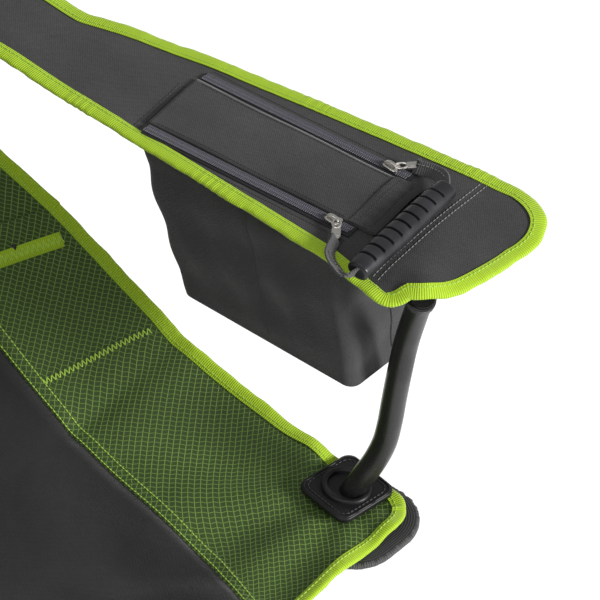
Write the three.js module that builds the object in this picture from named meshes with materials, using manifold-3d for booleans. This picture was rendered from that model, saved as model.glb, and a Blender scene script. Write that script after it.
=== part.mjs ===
// Folding camp chair with a quad-fold frame, sling seat and back, a cooler bag in the sitter's left
// arm and a cup holder in the right one. Millimetres, +Z up, the chair faces -Y, sitter's left is +X.
// The frame is four equal scissors round a square, so every foot and hub only slides as it folds.
import * as THREE from "three";
import { mergeVertices } from "three/addons/utils/BufferGeometryUtils.js";
import Module from "manifold-3d";

const wasm = await Module();
wasm.setup();

// ---- Driving dimensions ---------------------------------------------------------------------
const clearance = 0.3; // gap between pieces that touch
const runningGap = 0.6; // gap round what slides or turns

// frame
const cornerHalf = 270; // corner axes stand at (+-270, +-270)
const tubeRadius = 8.5; // every frame tube is 17 mm
const tubeWall = 1.4;
const tubeSides = 10;
const pinSides = 8;
const postSteps = 18;
const pivotInset = 32; // from the corner axis to a leg's pivot
const planeOffset = tubeRadius + 1.5; // the two legs of a scissor run this far outside and inside the square
const footPivotHeight = 34;
const hubPivotHeight = 388;
const legOverhang = 12; // leg past its pivot
const pinRadius = 3;
const pinHeadRadius = 5.5;
const pinHeadHeight = 2;

// feet and hubs
const footPadRadius = 23;
const footPadHeight = 7;
const bossRadius = 14.5;
const bossSides = 14;
const lugThickness = 12;
const lugRadius = 11;
const hubTopAbovePivot = 22;
const hubBottomBelowPivot = 16;
const footBossHeight = 58;

// posts
const armHeight = 660; // top of the arm fabric
const backTiltAngle = 15; // degrees, above the straight stretch that the rear hubs slide on
const backBendHeight = 662;
const backPostTop = 955;
const postLean = 24; // degrees, where an arm post leaves its hub

// fabric
const fabric = 3; // thickness of the seat and back
const armFabric = 4;
const seatHeight = 430; // side edge at the front corners
const seatOverhang = 26; // seat side edge outside the corner axis
const seatFrontOverhang = 54; // seat front edge ahead of the corner axis
const junctionAt = 0.46; // share of the sling from its front edge to the seam with the back

// cooler in the left arm: lengths along the lid run forward from its hinge
const lidHinge = [299, -96]; // x, y of the hinge's middle
const lidTurn = 5.5; // degrees outward
const lidLength = 187;
const lidWidth = 54;
const lidThickness = 2.6;
const zipHalfSpacing = 32.5;
const zipTapeWidth = 10;
const zipTapeThickness = 1.3;
const zipLength = 172;
const zipStart = 2; // ahead of the hinge
const sliderAt = 158;
const sliderSize = [9, 14, 5];
const pullSize = [7, 20, 1.8];
const gripLength = 99;
const gripRadius = 9.5;
const gripEndRadius = 6.5;
const gripAt = 201;
const gripShift = -18; // towards the sitter
const coolerWall = 2.5;
const coolerDepth = 118;
const coolerInner = 37; // from the hinge's middle to the bag's wall towards the sitter
const coolerOuter = 39;
const coolerRear = 9; // behind which the bag starts, ahead of the hinge
const coolerFront = 170;
const coolerTaper = 4; // the walls lean by these lengths from the bag's top to its bottom
const coolerFrontLean = 23;
const coolerRearLean = 34;

// cup holder in the right arm
const cupRadius = 42;
const cupDepth = 112;
const cupCentre = [-316, -262];
const cupWall = 2.2;
const cupRimWidth = 8;

const deg = Math.PI / 180;
// A faceted bore clears a faceted tube at every corner when its flats stand this far out.
const bore = (gap) => (tubeRadius + gap) / Math.cos(Math.PI / tubeSides);
const z3 = new THREE.Vector3(0, 0, 1);
const v3 = (x, y, z) => new THREE.Vector3(x, y, z);

// ---- Materials ------------------------------------------------------------------------------
const paint = (color, roughness, metalness = 0) =>
  new THREE.MeshStandardMaterial({ color, roughness, metalness });
const looks = {
  steel: () => paint(0x2b2b2c, 0.45, 0.6),
  rivet: () => paint(0x9a9a98, 0.35, 1),
  plastic: () => paint(0x191919, 0.55),
  rubber: () => paint(0x151515, 0.7),
  charcoal: () => paint(0x333433, 0.9),
  webbing: () => paint(0x1c1c1c, 0.9),
  zip: () => paint(0x202022, 0.6),
};

// ---- Solids ---------------------------------------------------------------------------------
function toSolid(geometry) {
  const bare = geometry.index ? geometry.toNonIndexed() : geometry.clone();
  bare.deleteAttribute("normal");
  bare.deleteAttribute("uv");
  const merged = mergeVertices(bare, 1e-4);
  return new wasm.Manifold(
    new wasm.Mesh({
      numProp: 3,
      vertProperties: new Float32Array(merged.attributes.position.array),
      triVerts: new Uint32Array(merged.index.array),
    }),
  );
}

function toGeometry(solid) {
  const mesh = solid.getMesh();
  const geometry = new THREE.BufferGeometry();
  geometry.setAttribute("position", new THREE.BufferAttribute(mesh.vertProperties, 3));
  geometry.setIndex(new THREE.BufferAttribute(mesh.triVerts, 1));
  const flat = geometry.toNonIndexed();
  flat.computeVertexNormals();
  return flat;
}

const join = (...parts) => parts.map(toSolid).reduce((a, b) => a.add(b));
const cut = (solid, ...tools) => tools.map(toSolid).reduce((a, b) => a.subtract(b), solid);

// Rod of one radius between two points.
function rod(from, to, radius, sides = tubeSides) {
  const along = to.clone().sub(from);
  const geometry = new THREE.CylinderGeometry(radius, radius, along.length(), sides);
  geometry.rotateX(Math.PI / 2);
  const turn = new THREE.Quaternion().setFromUnitVectors(z3, along.normalize());
  geometry.applyQuaternion(turn);
  const middle = from.clone().add(to).multiplyScalar(0.5);
  return geometry.translate(middle.x, middle.y, middle.z);
}

function ringShape(outer, inner, sides = tubeSides) {
  const circle = (radius) =>
    Array.from({ length: sides }, (_, i) => {
      const a = (2 * Math.PI * i) / sides;
      return new THREE.Vector2(radius * Math.cos(a), radius * Math.sin(a));
    });
  const shape = new THREE.Shape(circle(outer));
  if (inner) shape.holes.push(new THREE.Path(circle(inner)));
  return shape;
}

// Tube along a curve, open at both ends, or a solid bar when the wall is 0.
function tubeAlong(curve, radius, wall, steps) {
  const shape = ringShape(radius, wall ? radius - wall : 0);
  return new THREE.ExtrudeGeometry(shape, { steps, extrudePath: curve, bevelEnabled: false });
}

// Flat plate: a shape drawn in the XY plane and raised from z0 to z1.
function plate(shape, z0, z1, curveSegments = 6) {
  const depth = z1 - z0;
  const geometry = new THREE.ExtrudeGeometry(shape, { depth, bevelEnabled: false, curveSegments });
  return geometry.translate(0, 0, z0);
}

function roundedRectangle(x0, y0, x1, y1, r) {
  const s = new THREE.Shape();
  s.moveTo(x0 + r, y0);
  s.lineTo(x1 - r, y0);
  s.quadraticCurveTo(x1, y0, x1, y0 + r);
  s.lineTo(x1, y1 - r);
  s.quadraticCurveTo(x1, y1, x1 - r, y1);
  s.lineTo(x0 + r, y1);
  s.quadraticCurveTo(x0, y1, x0, y1 - r);
  s.lineTo(x0, y0 + r);
  s.quadraticCurveTo(x0, y0, x0 + r, y0);
  return s;
}

// Closed sheet: the surface point(u, v), and a copy of it moved down its normal by the thickness.
function sheet(point, u0, u1, v0, v1, across, along, thickness) {
  const step = 1e-3;
  const at = (u, v) => {
    const p = point(u, v);
    const du = point(u + step, v).sub(point(u - step, v));
    const dv = point(u, v + step).sub(point(u, v - step));
    return [p, p.clone().addScaledVector(du.cross(dv).normalize(), -thickness)];
  };
  const rows = along + 1;
  const count = (across + 1) * rows;
  const xyz = new Float32Array(6 * count);
  for (let i = 0; i <= across; i++)
    for (let j = 0; j < rows; j++) {
      const [top, under] = at(u0 + ((u1 - u0) * i) / across, v0 + ((v1 - v0) * j) / along);
      top.toArray(xyz, 3 * (i * rows + j));
      under.toArray(xyz, 3 * (count + i * rows + j));
    }
  const faces = [];
  const quad = (a, b, c, d) => faces.push(a, b, c, a, c, d);
  const id = (i, j) => i * rows + j;
  for (let i = 0; i < across; i++)
    for (let j = 0; j < along; j++) {
      const [a, b, c, d] = [id(i, j), id(i + 1, j), id(i + 1, j + 1), id(i, j + 1)];
      quad(a, b, c, d);
      quad(count + a, count + d, count + c, count + b);
    }
  const wall = (a, b) => quad(a, count + a, count + b, b);
  for (let i = 0; i < across; i++) {
    wall(id(i, 0), id(i + 1, 0));
    wall(id(i + 1, along), id(i, along));
  }
  for (let j = 0; j < along; j++) {
    wall(id(across, j), id(across, j + 1));
    wall(id(0, j + 1), id(0, j));
  }
  const geometry = new THREE.BufferGeometry();
  geometry.setAttribute("position", new THREE.BufferAttribute(xyz, 3));
  geometry.setIndex(faces);
  return geometry;
}

// ---- The chair ------------------------------------------------------------------------------
const chair = new THREE.Group();

function add(name, solidOrGeometry, look, parent = chair) {
  const isGeometry = solidOrGeometry.isBufferGeometry;
  const geometry = isGeometry ? solidOrGeometry : toGeometry(solidOrGeometry);
  const mesh = new THREE.Mesh(geometry, looks[look]());
  mesh.name = name;
  parent.add(mesh);
  return mesh;
}

// Corners run anticlockwise from the front left: 0 front left, 1 rear left, 2 rear right, 3 front
// right. In a corner's own frame +X points to the next corner and +Y to the one before.
const cornerNames = ["front_left", "rear_left", "rear_right", "front_right"];
const sideNames = ["left", "rear", "right", "front"];
const corners = cornerNames.map((_, k) => {
  const group = new THREE.Group();
  group.rotation.z = ((k + 1) * Math.PI) / 2;
  group.position.set(cornerHalf, -cornerHalf, 0).applyAxisAngle(z3, (k * Math.PI) / 2);
  chair.add(group);
  return group;
});
const isRear = (k) => k === 1 || k === 2;

// ---- Posts ----------------------------------------------------------------------------------
// Arm post: upright in its hub, leaning out through the seat's corner, an S bend, and a forward
// bend at the top into the arm's pocket. The points are places from the corner axis.
const postFoot = hubPivotHeight - hubBottomBelowPivot + 6;
const postBend = hubPivotHeight + 16;
const lean = Math.tan(postLean * deg);
const armPostCurve = (side) => {
  const at = (out, forward, z) => v3(side * (cornerHalf + out), -cornerHalf - forward, z);
  const knee = seatHeight + 36;
  const reach = (knee - postBend) * lean;
  return new THREE.CatmullRomCurve3(
    [
      at(0, 0, postFoot),
      at(0, 0, postBend - 12),
      at(0.12 * reach, 0.25 * reach, postBend + 6),
      at(0.62 * reach, 0.92 * reach, knee),
      at(17, 31, seatHeight + 62),
      at(20, 38, seatHeight + 118),
      at(21, 43, armHeight - 78),
      at(23, 52, armHeight - 36),
      at(25, 66, armHeight - armFabric - 12),
    ],
    false,
    "centripetal",
  );
};

const backPostCurve = (side) => {
  const rise = backPostTop - backBendHeight;
  const back = rise * Math.tan(backTiltAngle * deg);
  const x = side * cornerHalf;
  const path = new THREE.CurvePath();
  const bendStart = v3(x, cornerHalf, backBendHeight - 14);
  const bendMiddle = v3(x, cornerHalf, backBendHeight);
  const bendEnd = v3(x, cornerHalf + 0.06 * back, backBendHeight + 0.06 * rise);
  path.add(new THREE.LineCurve3(v3(x, cornerHalf, footPadHeight + 6), bendStart));
  path.add(new THREE.QuadraticBezierCurve3(bendStart, bendMiddle, bendEnd));
  path.add(new THREE.LineCurve3(bendEnd, v3(x, cornerHalf + back, backPostTop)));
  return path;
};

for (const [side, name] of [[1, "left"], [-1, "right"]]) {
  add(`arm_post_${name}`, tubeAlong(armPostCurve(side), tubeRadius, tubeWall, postSteps), "steel");
  add(`back_post_${name}`, tubeAlong(backPostCurve(side), tubeRadius, tubeWall, 12), "steel");
}

// Everything that an arm post passes through is cut by a wider copy of it.
const armPostHole = (side, gap) => tubeAlong(armPostCurve(side), tubeRadius + gap, 0, postSteps);

// ---- Feet and hubs --------------------------------------------------------------------------
// A lug is a rounded plate beside a leg, with the pin that the leg turns on. It runs along the
// corner frame's X, and side says which side of the axis the leg is on: -1 outside, 1 inside.
function lugWithPin(height, side) {
  const face = side * (planeOffset - tubeRadius - clearance);
  const far = face - side * lugThickness;
  const outline = new THREE.Shape();
  outline.moveTo(0, -lugRadius);
  outline.lineTo(pivotInset, -lugRadius);
  outline.absarc(pivotInset, 0, lugRadius, -Math.PI / 2, Math.PI / 2, false);
  outline.lineTo(0, lugRadius);
  // drawn flat, then stood up, which sends its thickness along -Y
  const lug = plate(outline, -Math.max(face, far), -Math.min(face, far), 6);
  lug.rotateX(Math.PI / 2).translate(0, 0, height);
  const end = side * (planeOffset + tubeRadius + clearance);
  const start = v3(pivotInset, far + side, height);
  const pin = rod(start, v3(pivotInset, end + side, height), pinRadius, pinSides);
  const head = rod(
    v3(pivotInset, end, height),
    v3(pivotInset, end + side * pinHeadHeight, height),
    pinHeadRadius,
    pinSides,
  );
  return join(lug, pin, head);
}

// The same lug, turned to run along the corner frame's Y, its legs mirrored by the turn.
function lugPair(height, side) {
  const first = lugWithPin(height, side);
  const second = toGeometry(lugWithPin(height, side)).rotateZ(Math.PI / 2);
  return first.add(toSolid(second));
}

function footSolid(k) {
  const profile = [
    [0, 0],
    [footPadRadius - 2, 0],
    [footPadRadius, 2],
    [footPadRadius, footPadHeight],
    [bossRadius, footPadHeight + 9],
    [bossRadius, footBossHeight - 4],
    [bossRadius - 4, footBossHeight],
    [0, footBossHeight],
  ].map(([r, z]) => new THREE.Vector2(r, z));
  const boss = new THREE.LatheGeometry(profile, bossSides).rotateX(Math.PI / 2);
  const solid = lugPair(footPivotHeight, -1).add(toSolid(boss));
  if (!isRear(k)) return solid;
  const floor = footPadHeight + 6 - clearance;
  return cut(solid, rod(v3(0, 0, floor), v3(0, 0, footBossHeight + 1), bore(clearance)));
}

function hubSolid(k) {
  const low = hubPivotHeight - hubBottomBelowPivot;
  const high = hubPivotHeight + hubTopAbovePivot;
  const profile = [
    [0, low],
    [bossRadius - 2, low],
    [bossRadius, low + 2],
    [bossRadius, high - 3],
    [bossRadius - 2, high],
    [0, high],
  ].map(([r, z]) => new THREE.Vector2(r, z));
  const boss = new THREE.LatheGeometry(profile, bossSides).rotateX(Math.PI / 2);
  const solid = lugPair(hubPivotHeight, 1).add(toSolid(boss));
  if (isRear(k))
    return cut(solid, rod(v3(0, 0, low - 1), v3(0, 0, high + 1), bore(runningGap)));
  const side = k === 0 ? 1 : -1;
  corners[k].updateMatrixWorld(true);
  const hole = armPostHole(side, clearance).applyMatrix4(corners[k].matrixWorld.clone().invert());
  return cut(solid, hole, rod(v3(0, 0, low - 1), v3(0, 0, postFoot + 1), tubeRadius - tubeWall - 1));
}

corners.forEach((group, k) => {
  add(`foot_${cornerNames[k]}`, footSolid(k), "plastic", group);
  add(`hub_${cornerNames[k]}`, hubSolid(k), "plastic", group);
});

// ---- Scissor legs ---------------------------------------------------------------------------
// The outer leg of a side runs from this corner's foot to the next corner's hub, and the inner leg
// from the next corner's foot to this corner's hub. They cross on a rivet.
const span = 2 * (cornerHalf - pivotInset);
const crossHole = pinRadius + clearance;

function legSolid(outer) {
  const y = outer ? -planeOffset : planeOffset;
  const foot = v3(outer ? pivotInset : pivotInset + span, y, footPivotHeight);
  const hub = v3(outer ? pivotInset + span : pivotInset, y, hubPivotHeight);
  const along = hub.clone().sub(foot).normalize();
  const low = foot.clone().addScaledVector(along, -legOverhang);
  const high = hub.clone().addScaledVector(along, legOverhang);
  const tube = tubeAlong(new THREE.LineCurve3(low, high), tubeRadius, tubeWall, 1);
  const middle = foot.clone().add(hub).multiplyScalar(0.5);
  const across = v3(0, tubeRadius + 2, 0);
  const holes = [foot, middle, hub].map((p) =>
    rod(p.clone().sub(across), p.clone().add(across), crossHole, pinSides),
  );
  return cut(toSolid(tube), ...holes);
}

function crossRivetSolid() {
  const middle = v3(pivotInset + span / 2, 0, (footPivotHeight + hubPivotHeight) / 2);
  const at = (y) => middle.clone().setY(y);
  const end = planeOffset + tubeRadius + clearance;
  const collar = planeOffset - tubeRadius - clearance;
  return join(
    rod(at(-end - 1), at(end + 1), pinRadius, pinSides),
    rod(at(-collar), at(collar), pinHeadRadius, pinSides),
    rod(at(-end - pinHeadHeight), at(-end), pinHeadRadius, pinSides),
    rod(at(end), at(end + pinHeadHeight), pinHeadRadius, pinSides),
  );
}

corners.forEach((group, k) => {
  add(`leg_${sideNames[k]}_outer`, legSolid(true), "steel", group);
  add(`leg_${sideNames[k]}_inner`, legSolid(false), "steel", group);
  add(`cross_rivet_${sideNames[k]}`, crossRivetSolid(), "rivet", group);
});

// ---- Sling: seat and back -------------------------------------------------------------------
// One surface from the seat's front edge to the back's top edge. Its side edge and its middle line
// are curves, and between them depth and height ease from one to the other.
const backLean = Math.tan(backTiltAngle * deg);
const alongBackPost = (z) => cornerHalf + Math.max(0, z - backBendHeight) * backLean - 15;
const sideX = cornerHalf + seatOverhang;
const frontY = -cornerHalf - seatFrontOverhang;
const sideEdge = new THREE.CatmullRomCurve3(
  [
    v3(sideX, frontY, seatHeight),
    v3(sideX - 4, frontY + 74, seatHeight + 1),
    v3(sideX - 9, frontY + 122, seatHeight + 12),
    v3(sideX - 12, frontY + 194, seatHeight + 32),
    v3(sideX - 15, frontY + 260, seatHeight + 61),
    v3(sideX - 18, frontY + 314, seatHeight + 92),
    v3(cornerHalf - 7, 0.3 * cornerHalf, seatHeight + 142),
    v3(cornerHalf - 25, 0.62 * cornerHalf, seatHeight + 198),
    v3(cornerHalf - 25, 0.86 * cornerHalf, seatHeight + 246),
    v3(cornerHalf - 10, alongBackPost(seatHeight + 320) - 4, seatHeight + 320),
    v3(cornerHalf - 2, alongBackPost(seatHeight + 400), seatHeight + 400),
    v3(cornerHalf - 2, alongBackPost(backPostTop), backPostTop - 4),
  ],
  false,
  "centripetal",
);
const middleLine = new THREE.CatmullRomCurve3(
  [
    v3(0, frontY + 4, seatHeight - 9),
    v3(0, frontY + 70, seatHeight - 26),
    v3(0, -0.37 * cornerHalf, seatHeight - 42),
    v3(0, 0.2 * cornerHalf, seatHeight - 44),
    v3(0, 0.66 * cornerHalf, seatHeight - 26),
    v3(0, 0.9 * cornerHalf, seatHeight + 40),
    v3(0, cornerHalf, seatHeight + 150),
    v3(0, alongBackPost(backPostTop - 200) + 20, backPostTop - 220),
    v3(0, alongBackPost(backPostTop - 100) + 16, backPostTop - 110),
    v3(0, alongBackPost(backPostTop - 40) + 6, backPostTop - 38),
  ],
  false,
  "centripetal",
);

function sling(u, v) {
  const t = Math.min(Math.max(v, 0), 1);
  const edge = sideEdge.getPoint(t);
  const middle = middleLine.getPoint(t);
  const pull = Math.abs(u);
  const y = middle.y + (edge.y - middle.y) * pull ** 2;
  const z = middle.z + (edge.z - middle.z) * pull ** 2.2;
  return v3(u * edge.x, y, z);
}

const seam = 0.001; // gap left on each side of a sewn seam, as a share of the sling
for (const [side, name] of [[1, "left"], [-1, "right"]]) {
  const [u0, u1] = side > 0 ? [seam, 1] : [-1, -seam];
  const half = toSolid(sheet(sling, u0, u1, 0, junctionAt - seam, 7, 12, fabric));
  add(`seat_${name}`, cut(half, armPostHole(side, 2)), "charcoal");
}
add("back_panel", sheet(sling, -1, 1, junctionAt + seam, 1, 12, 14, fabric), "charcoal");

// Webbing that ties the seat's rear side edge down to the rear hub.
for (const [side, name] of [[1, "left"], [-1, "right"]]) {
  const top = sling(0.9 * side, junctionAt * 0.93).add(v3(0, 0, -fabric - 6));
  const low = v3(side * (cornerHalf - 4), cornerHalf - 18, hubPivotHeight + hubTopAbovePivot + 4);
  const tie = (u, v) =>
    top.clone().lerp(low, 0.06 + 0.9 * v).add(v3(12 * u, 0, -10 * Math.sin(Math.PI * v)));
  add(`seat_tie_${name}`, sheet(tie, -1, 1, 0, 1, 1, 6, 1.6), "webbing");
}

// ---- Seat corners ---------------------------------------------------------------------------
const patchHalf = 24.5;
const patchTurn = 7;
const patchBottom = seatHeight + 1.8;
const patchThickness = 3.4;
const patchRingHeight = 3.2;
const pocketHalf = 27;
const pocketBottom = hubPivotHeight + hubTopAbovePivot + 0.8;
const pocketThickness = 4.5;

for (const [side, name] of [[1, "left"], [-1, "right"]]) {
  const reach = patchBottom - postBend;
  const centre = [side * (cornerHalf + 0.25 * reach * lean), -cornerHalf - 0.6 * reach * lean];
  const top = patchBottom + patchThickness;
  const square = roundedRectangle(-patchHalf, -patchHalf, patchHalf, patchHalf, 8);
  const ring = new THREE.Shape().absellipse(0, 0, 15, 18, 0, 2 * Math.PI, false, 0);
  const patch = [plate(square, patchBottom, top), plate(ring, top - 1, top + patchRingHeight, 8)];
  patch.forEach((g) => g.rotateZ(-side * patchTurn * deg).translate(centre[0], centre[1], 0));
  add(`corner_patch_${name}`, cut(join(...patch), armPostHole(side, 1)), "rubber");

  const pad = roundedRectangle(-pocketHalf, -pocketHalf, pocketHalf, pocketHalf, 12);
  const pocket = plate(pad, pocketBottom, pocketBottom + pocketThickness, 4);
  pocket.translate(side * (cornerHalf - 4), -cornerHalf - 12, 0);
  add(`corner_pocket_${name}`, cut(toSolid(pocket), armPostHole(side, 1)), "webbing");
}

// ---- Arms -----------------------------------------------------------------------------------
const armInner = cornerHalf - 16;
const armOuterRear = cornerHalf + 57;
const armOuterFront = cornerHalf + 121;
const armFront = -cornerHalf - 94;
const armRear = cornerHalf + tubeRadius + 9;
const flareStart = 0.04 * cornerHalf;
const armUnder = armHeight - armFabric;

// Outline of the left arm: straight inside, flaring outside, with a slanted round front.
function armOutline() {
  const outline = new THREE.Shape();
  outline.moveTo(armInner, armRear);
  outline.lineTo(armInner, armFront + 48);
  outline.quadraticCurveTo(armInner, armFront + 34, armInner + 14, armFront + 28);
  outline.lineTo(armOuterFront - 46, armFront + 3);
  outline.quadraticCurveTo(armOuterFront, armFront - 6, armOuterFront, armFront + 40);
  const flare = flareStart - armFront - 40;
  outline.bezierCurveTo(
    armOuterFront - 19,
    armFront + 40 + 0.325 * flare,
    armOuterRear + 33,
    flareStart - 0.385 * flare,
    armOuterRear,
    flareStart,
  );
  outline.lineTo(armOuterRear, armRear);
  return outline;
}

// Frame of the lid: X outward across it, Y forward along it, from the middle of its hinge.
const lidFrame = new THREE.Group();
lidFrame.position.set(lidHinge[0], lidHinge[1], 0);
const acrossLid = v3(Math.cos(lidTurn * deg), Math.sin(lidTurn * deg), 0);
const alongLid = v3(Math.sin(lidTurn * deg), -Math.cos(lidTurn * deg), 0);
// X across and Y along make a left-handed pair with +Z up, so X is drawn inward instead
lidFrame.quaternion.setFromRotationMatrix(
  new THREE.Matrix4().makeBasis(acrossLid.clone().negate(), alongLid, z3),
);
chair.add(lidFrame);
const rectangle = (x0, y0, x1, y1) =>
  new THREE.Shape([
    new THREE.Vector2(x0, y0),
    new THREE.Vector2(x1, y0),
    new THREE.Vector2(x1, y1),
    new THREE.Vector2(x0, y1),
  ]);

const mouthEdge = 3; // arm fabric that the lid laps over on each side of the mouth
const mouth = plate(
  rectangle(-lidWidth / 2 + mouthEdge, 8, lidWidth / 2 - mouthEdge, lidLength - 26),
  armUnder - 1,
  armHeight + 1,
);
lidFrame.updateMatrixWorld(true);
mouth.applyMatrix4(lidFrame.matrixWorld);
const backPostHole = rod(
  v3(cornerHalf, cornerHalf, armUnder - 1),
  v3(cornerHalf, cornerHalf, armHeight + 1),
  bore(runningGap + 2),
);
const armBlank = cut(toSolid(plate(armOutline(), armUnder, armHeight, 8)), backPostHole);
add("arm_left", cut(armBlank, mouth), "charcoal");

const cupHole = rod(
  v3(-cupCentre[0], cupCentre[1], armUnder - 1),
  v3(-cupCentre[0], cupCentre[1], armHeight + 1),
  cupRadius + clearance,
  24,
);
add("arm_right", cut(armBlank, cupHole).mirror([1, 0, 0]), "charcoal");

// Sleeve under the arm's front that the top of the post slips into.
for (const [side, name] of [[1, "left"], [-1, "right"]]) {
  const curve = armPostCurve(side);
  const low = curve.getPointAt(0.9);
  const high = curve.getPointAt(1);
  const stretch = new THREE.LineCurve3(low, high.clone().add(high.clone().sub(low).setLength(6)));
  const cap = tubeAlong(stretch, tubeRadius + 3.5, 0, 1);
  const above = plate(roundedRectangle(-40, -40, 40, 40, 1), armUnder - clearance, armHeight + 30);
  above.translate(high.x, high.y, 0);
  add(`arm_sleeve_${name}`, cut(toSolid(cap), armPostHole(side, clearance), above), "webbing");
}

// ---- Cooler ---------------------------------------------------------------------------------
// Bag: a box open at the top, its front leaning forward and its rear slanting in as they go down.
function bagBlock(inset, bottom, top) {
  const ring = (z) => {
    const t = (armUnder - z) / coolerDepth;
    const x0 = lidHinge[0] - coolerInner + inset;
    const x1 = lidHinge[0] + coolerOuter - inset - coolerTaper * t;
    const y0 = lidHinge[1] - coolerFront - coolerFrontLean * t + inset;
    const y1 = lidHinge[1] - coolerRear - coolerRearLean * t - inset;
    return [v3(x0, y0, z), v3(x1, y0, z), v3(x1, y1, z), v3(x0, y1, z)];
  };
  const points = [...ring(bottom), ...ring(top)];
  const geometry = new THREE.BufferGeometry().setFromPoints(points);
  geometry.setIndex([
    0, 2, 1, 0, 3, 2, 4, 5, 6, 4, 6, 7, 0, 1, 5, 0, 5, 4, 1, 2, 6, 1, 6, 5, 2, 3, 7, 2, 7, 6, 3, 0,
    4, 3, 4, 7,
  ]);
  return geometry;
}
const bagTop = armUnder - clearance;
const bagBottom = armUnder - coolerDepth;
const bag = cut(
  toSolid(bagBlock(0, bagBottom, bagTop)),
  bagBlock(coolerWall, bagBottom + coolerWall, bagTop + 1),
);
add("cooler_bag", bag, "charcoal");

const lidBottom = armHeight + clearance;
const lidShape = roundedRectangle(-lidWidth / 2, 0, lidWidth / 2, lidLength, 2);
add("cooler_lid", plate(lidShape, lidBottom, lidBottom + lidThickness, 3), "charcoal", lidFrame);

for (const [side, name] of [[1, "inner"], [-1, "outer"]]) {
  const x = side * zipHalfSpacing;
  const half = zipTapeWidth / 2;
  const tape = rectangle(x - half, zipStart, x + half, zipStart + zipLength);
  const tapeTop = lidBottom + zipTapeThickness;
  add(`zip_tape_${name}`, plate(tape, lidBottom, tapeTop), "zip", lidFrame);

  const [width, length, height] = sliderSize;
  const low = tapeTop + clearance;
  const [rear, front] = [sliderAt - length / 2, sliderAt + length / 2];
  const bodyShape = roundedRectangle(x - width / 2, rear, x + width / 2, front, 2.5);
  add(`zip_slider_${name}`, plate(bodyShape, low, low + height, 3), "rivet", lidFrame);

  const [pullWidth, pullLength, pullThickness] = pullSize;
  const start = front + clearance;
  const pullLow = low + height - pullThickness;
  const [left, right] = [x - pullWidth / 2, x + pullWidth / 2];
  const pullShape = roundedRectangle(left, start, right, start + pullLength, 2);
  const eye = new THREE.Path().absarc(x, start + pullLength - 5, 2, 0, 2 * Math.PI, true);
  pullShape.holes.push(eye);
  add(`zip_pull_${name}`, plate(pullShape, pullLow, pullLow + pullThickness, 4), "rivet", lidFrame);
}

// Barrel grip that joins both pulls, and the webbing loops at its ends.
const gripHeight = lidBottom + gripRadius + clearance;
const gripProfile = Array.from({ length: 9 }, (_, i) => {
  const t = i / 8;
  const r = gripEndRadius + (gripRadius - gripEndRadius) * Math.sin(Math.PI * t) ** 0.7;
  return new THREE.Vector2(r, (t - 0.5) * gripLength);
});
gripProfile.unshift(new THREE.Vector2(0, -gripLength / 2));
gripProfile.push(new THREE.Vector2(0, gripLength / 2));
const grip = new THREE.LatheGeometry(gripProfile, 14).rotateZ(Math.PI / 2);
grip.translate(-gripShift, gripAt, gripHeight);
add("cooler_grip", grip, "rubber", lidFrame);

const loopHeight = 7;
for (const [side, name] of [[1, "inner"], [-1, "outer"]]) {
  const pullEnd = sliderAt + sliderSize[1] / 2 + clearance + pullSize[1];
  const gripEnd = side * (gripLength / 2) - gripShift;
  const path = new THREE.CatmullRomCurve3([
    v3(side * zipHalfSpacing, pullEnd + 2, lidBottom + 6),
    v3(0.5 * (side * zipHalfSpacing + gripEnd) + side, pullEnd + 2.6, lidBottom + 7),
    v3(gripEnd + 3.5 * side, gripAt - 8, lidBottom + 8),
    v3(gripEnd + 2.5 * side, gripAt, gripHeight),
  ]);
  const loop = (u, v) => path.getPoint(v).add(v3(0, 0, 0.5 * loopHeight * u));
  add(`pull_loop_${name}`, sheet(loop, -1, 1, 0.01, 0.99, 1, 5, 1.4), "webbing", lidFrame);
}

// ---- Cup holder -----------------------------------------------------------------------------
const cupTop = armHeight + clearance;
const cupProfile = [
  [0, cupTop - cupDepth],
  [cupRadius - 6, cupTop - cupDepth],
  [cupRadius, cupTop],
  [cupRadius + cupRimWidth, cupTop],
  [cupRadius + cupRimWidth, cupTop + cupWall],
  [cupRadius - cupWall, cupTop + cupWall],
  [cupRadius - cupWall - 6, cupTop - cupDepth + cupWall],
  [0, cupTop - cupDepth + cupWall],
].map(([r, z]) => new THREE.Vector2(r, z));
const cup = new THREE.LatheGeometry(cupProfile, 24).rotateX(Math.PI / 2);
add("cup_holder", cup.translate(cupCentre[0], cupCentre[1], 0), "webbing");

// ---- Back post caps -------------------------------------------------------------------------
for (const [side, name] of [[1, "left"], [-1, "right"]]) {
  const curve = backPostCurve(side);
  const top = curve.getPoint(1);
  const up = v3(0, Math.sin(backTiltAngle * deg), Math.cos(backTiltAngle * deg));
  const end = top.clone().addScaledVector(up, clearance);
  const dome = rod(end, end.clone().addScaledVector(up, 7), tubeRadius + 1.5, 14);
  const plugBottom = end.clone().addScaledVector(up, -18);
  const plug = rod(plugBottom, end.clone().addScaledVector(up, 1), tubeRadius - tubeWall - clearance);
  add(`back_cap_${name}`, join(dome, plug), "plastic");
}

// The origin is under the middle of the chair's box, on the ground.
const box = new THREE.Box3().setFromObject(chair, true);
const centre = box.getCenter(new THREE.Vector3());
chair.position.set(-centre.x, -centre.y, -box.min.z);

export default chair;
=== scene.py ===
"""Folding camp chair: cloth, bindings, stitching, zips, tubes and moulded parts around the CAD frame.

Shapes are worked out in millimetres about the middle of the four corner axes: +Z up, the chair faces
-Y and the sitter's left is +X. Patchwork.build writes them in metres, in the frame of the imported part.
"""
import math

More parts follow.
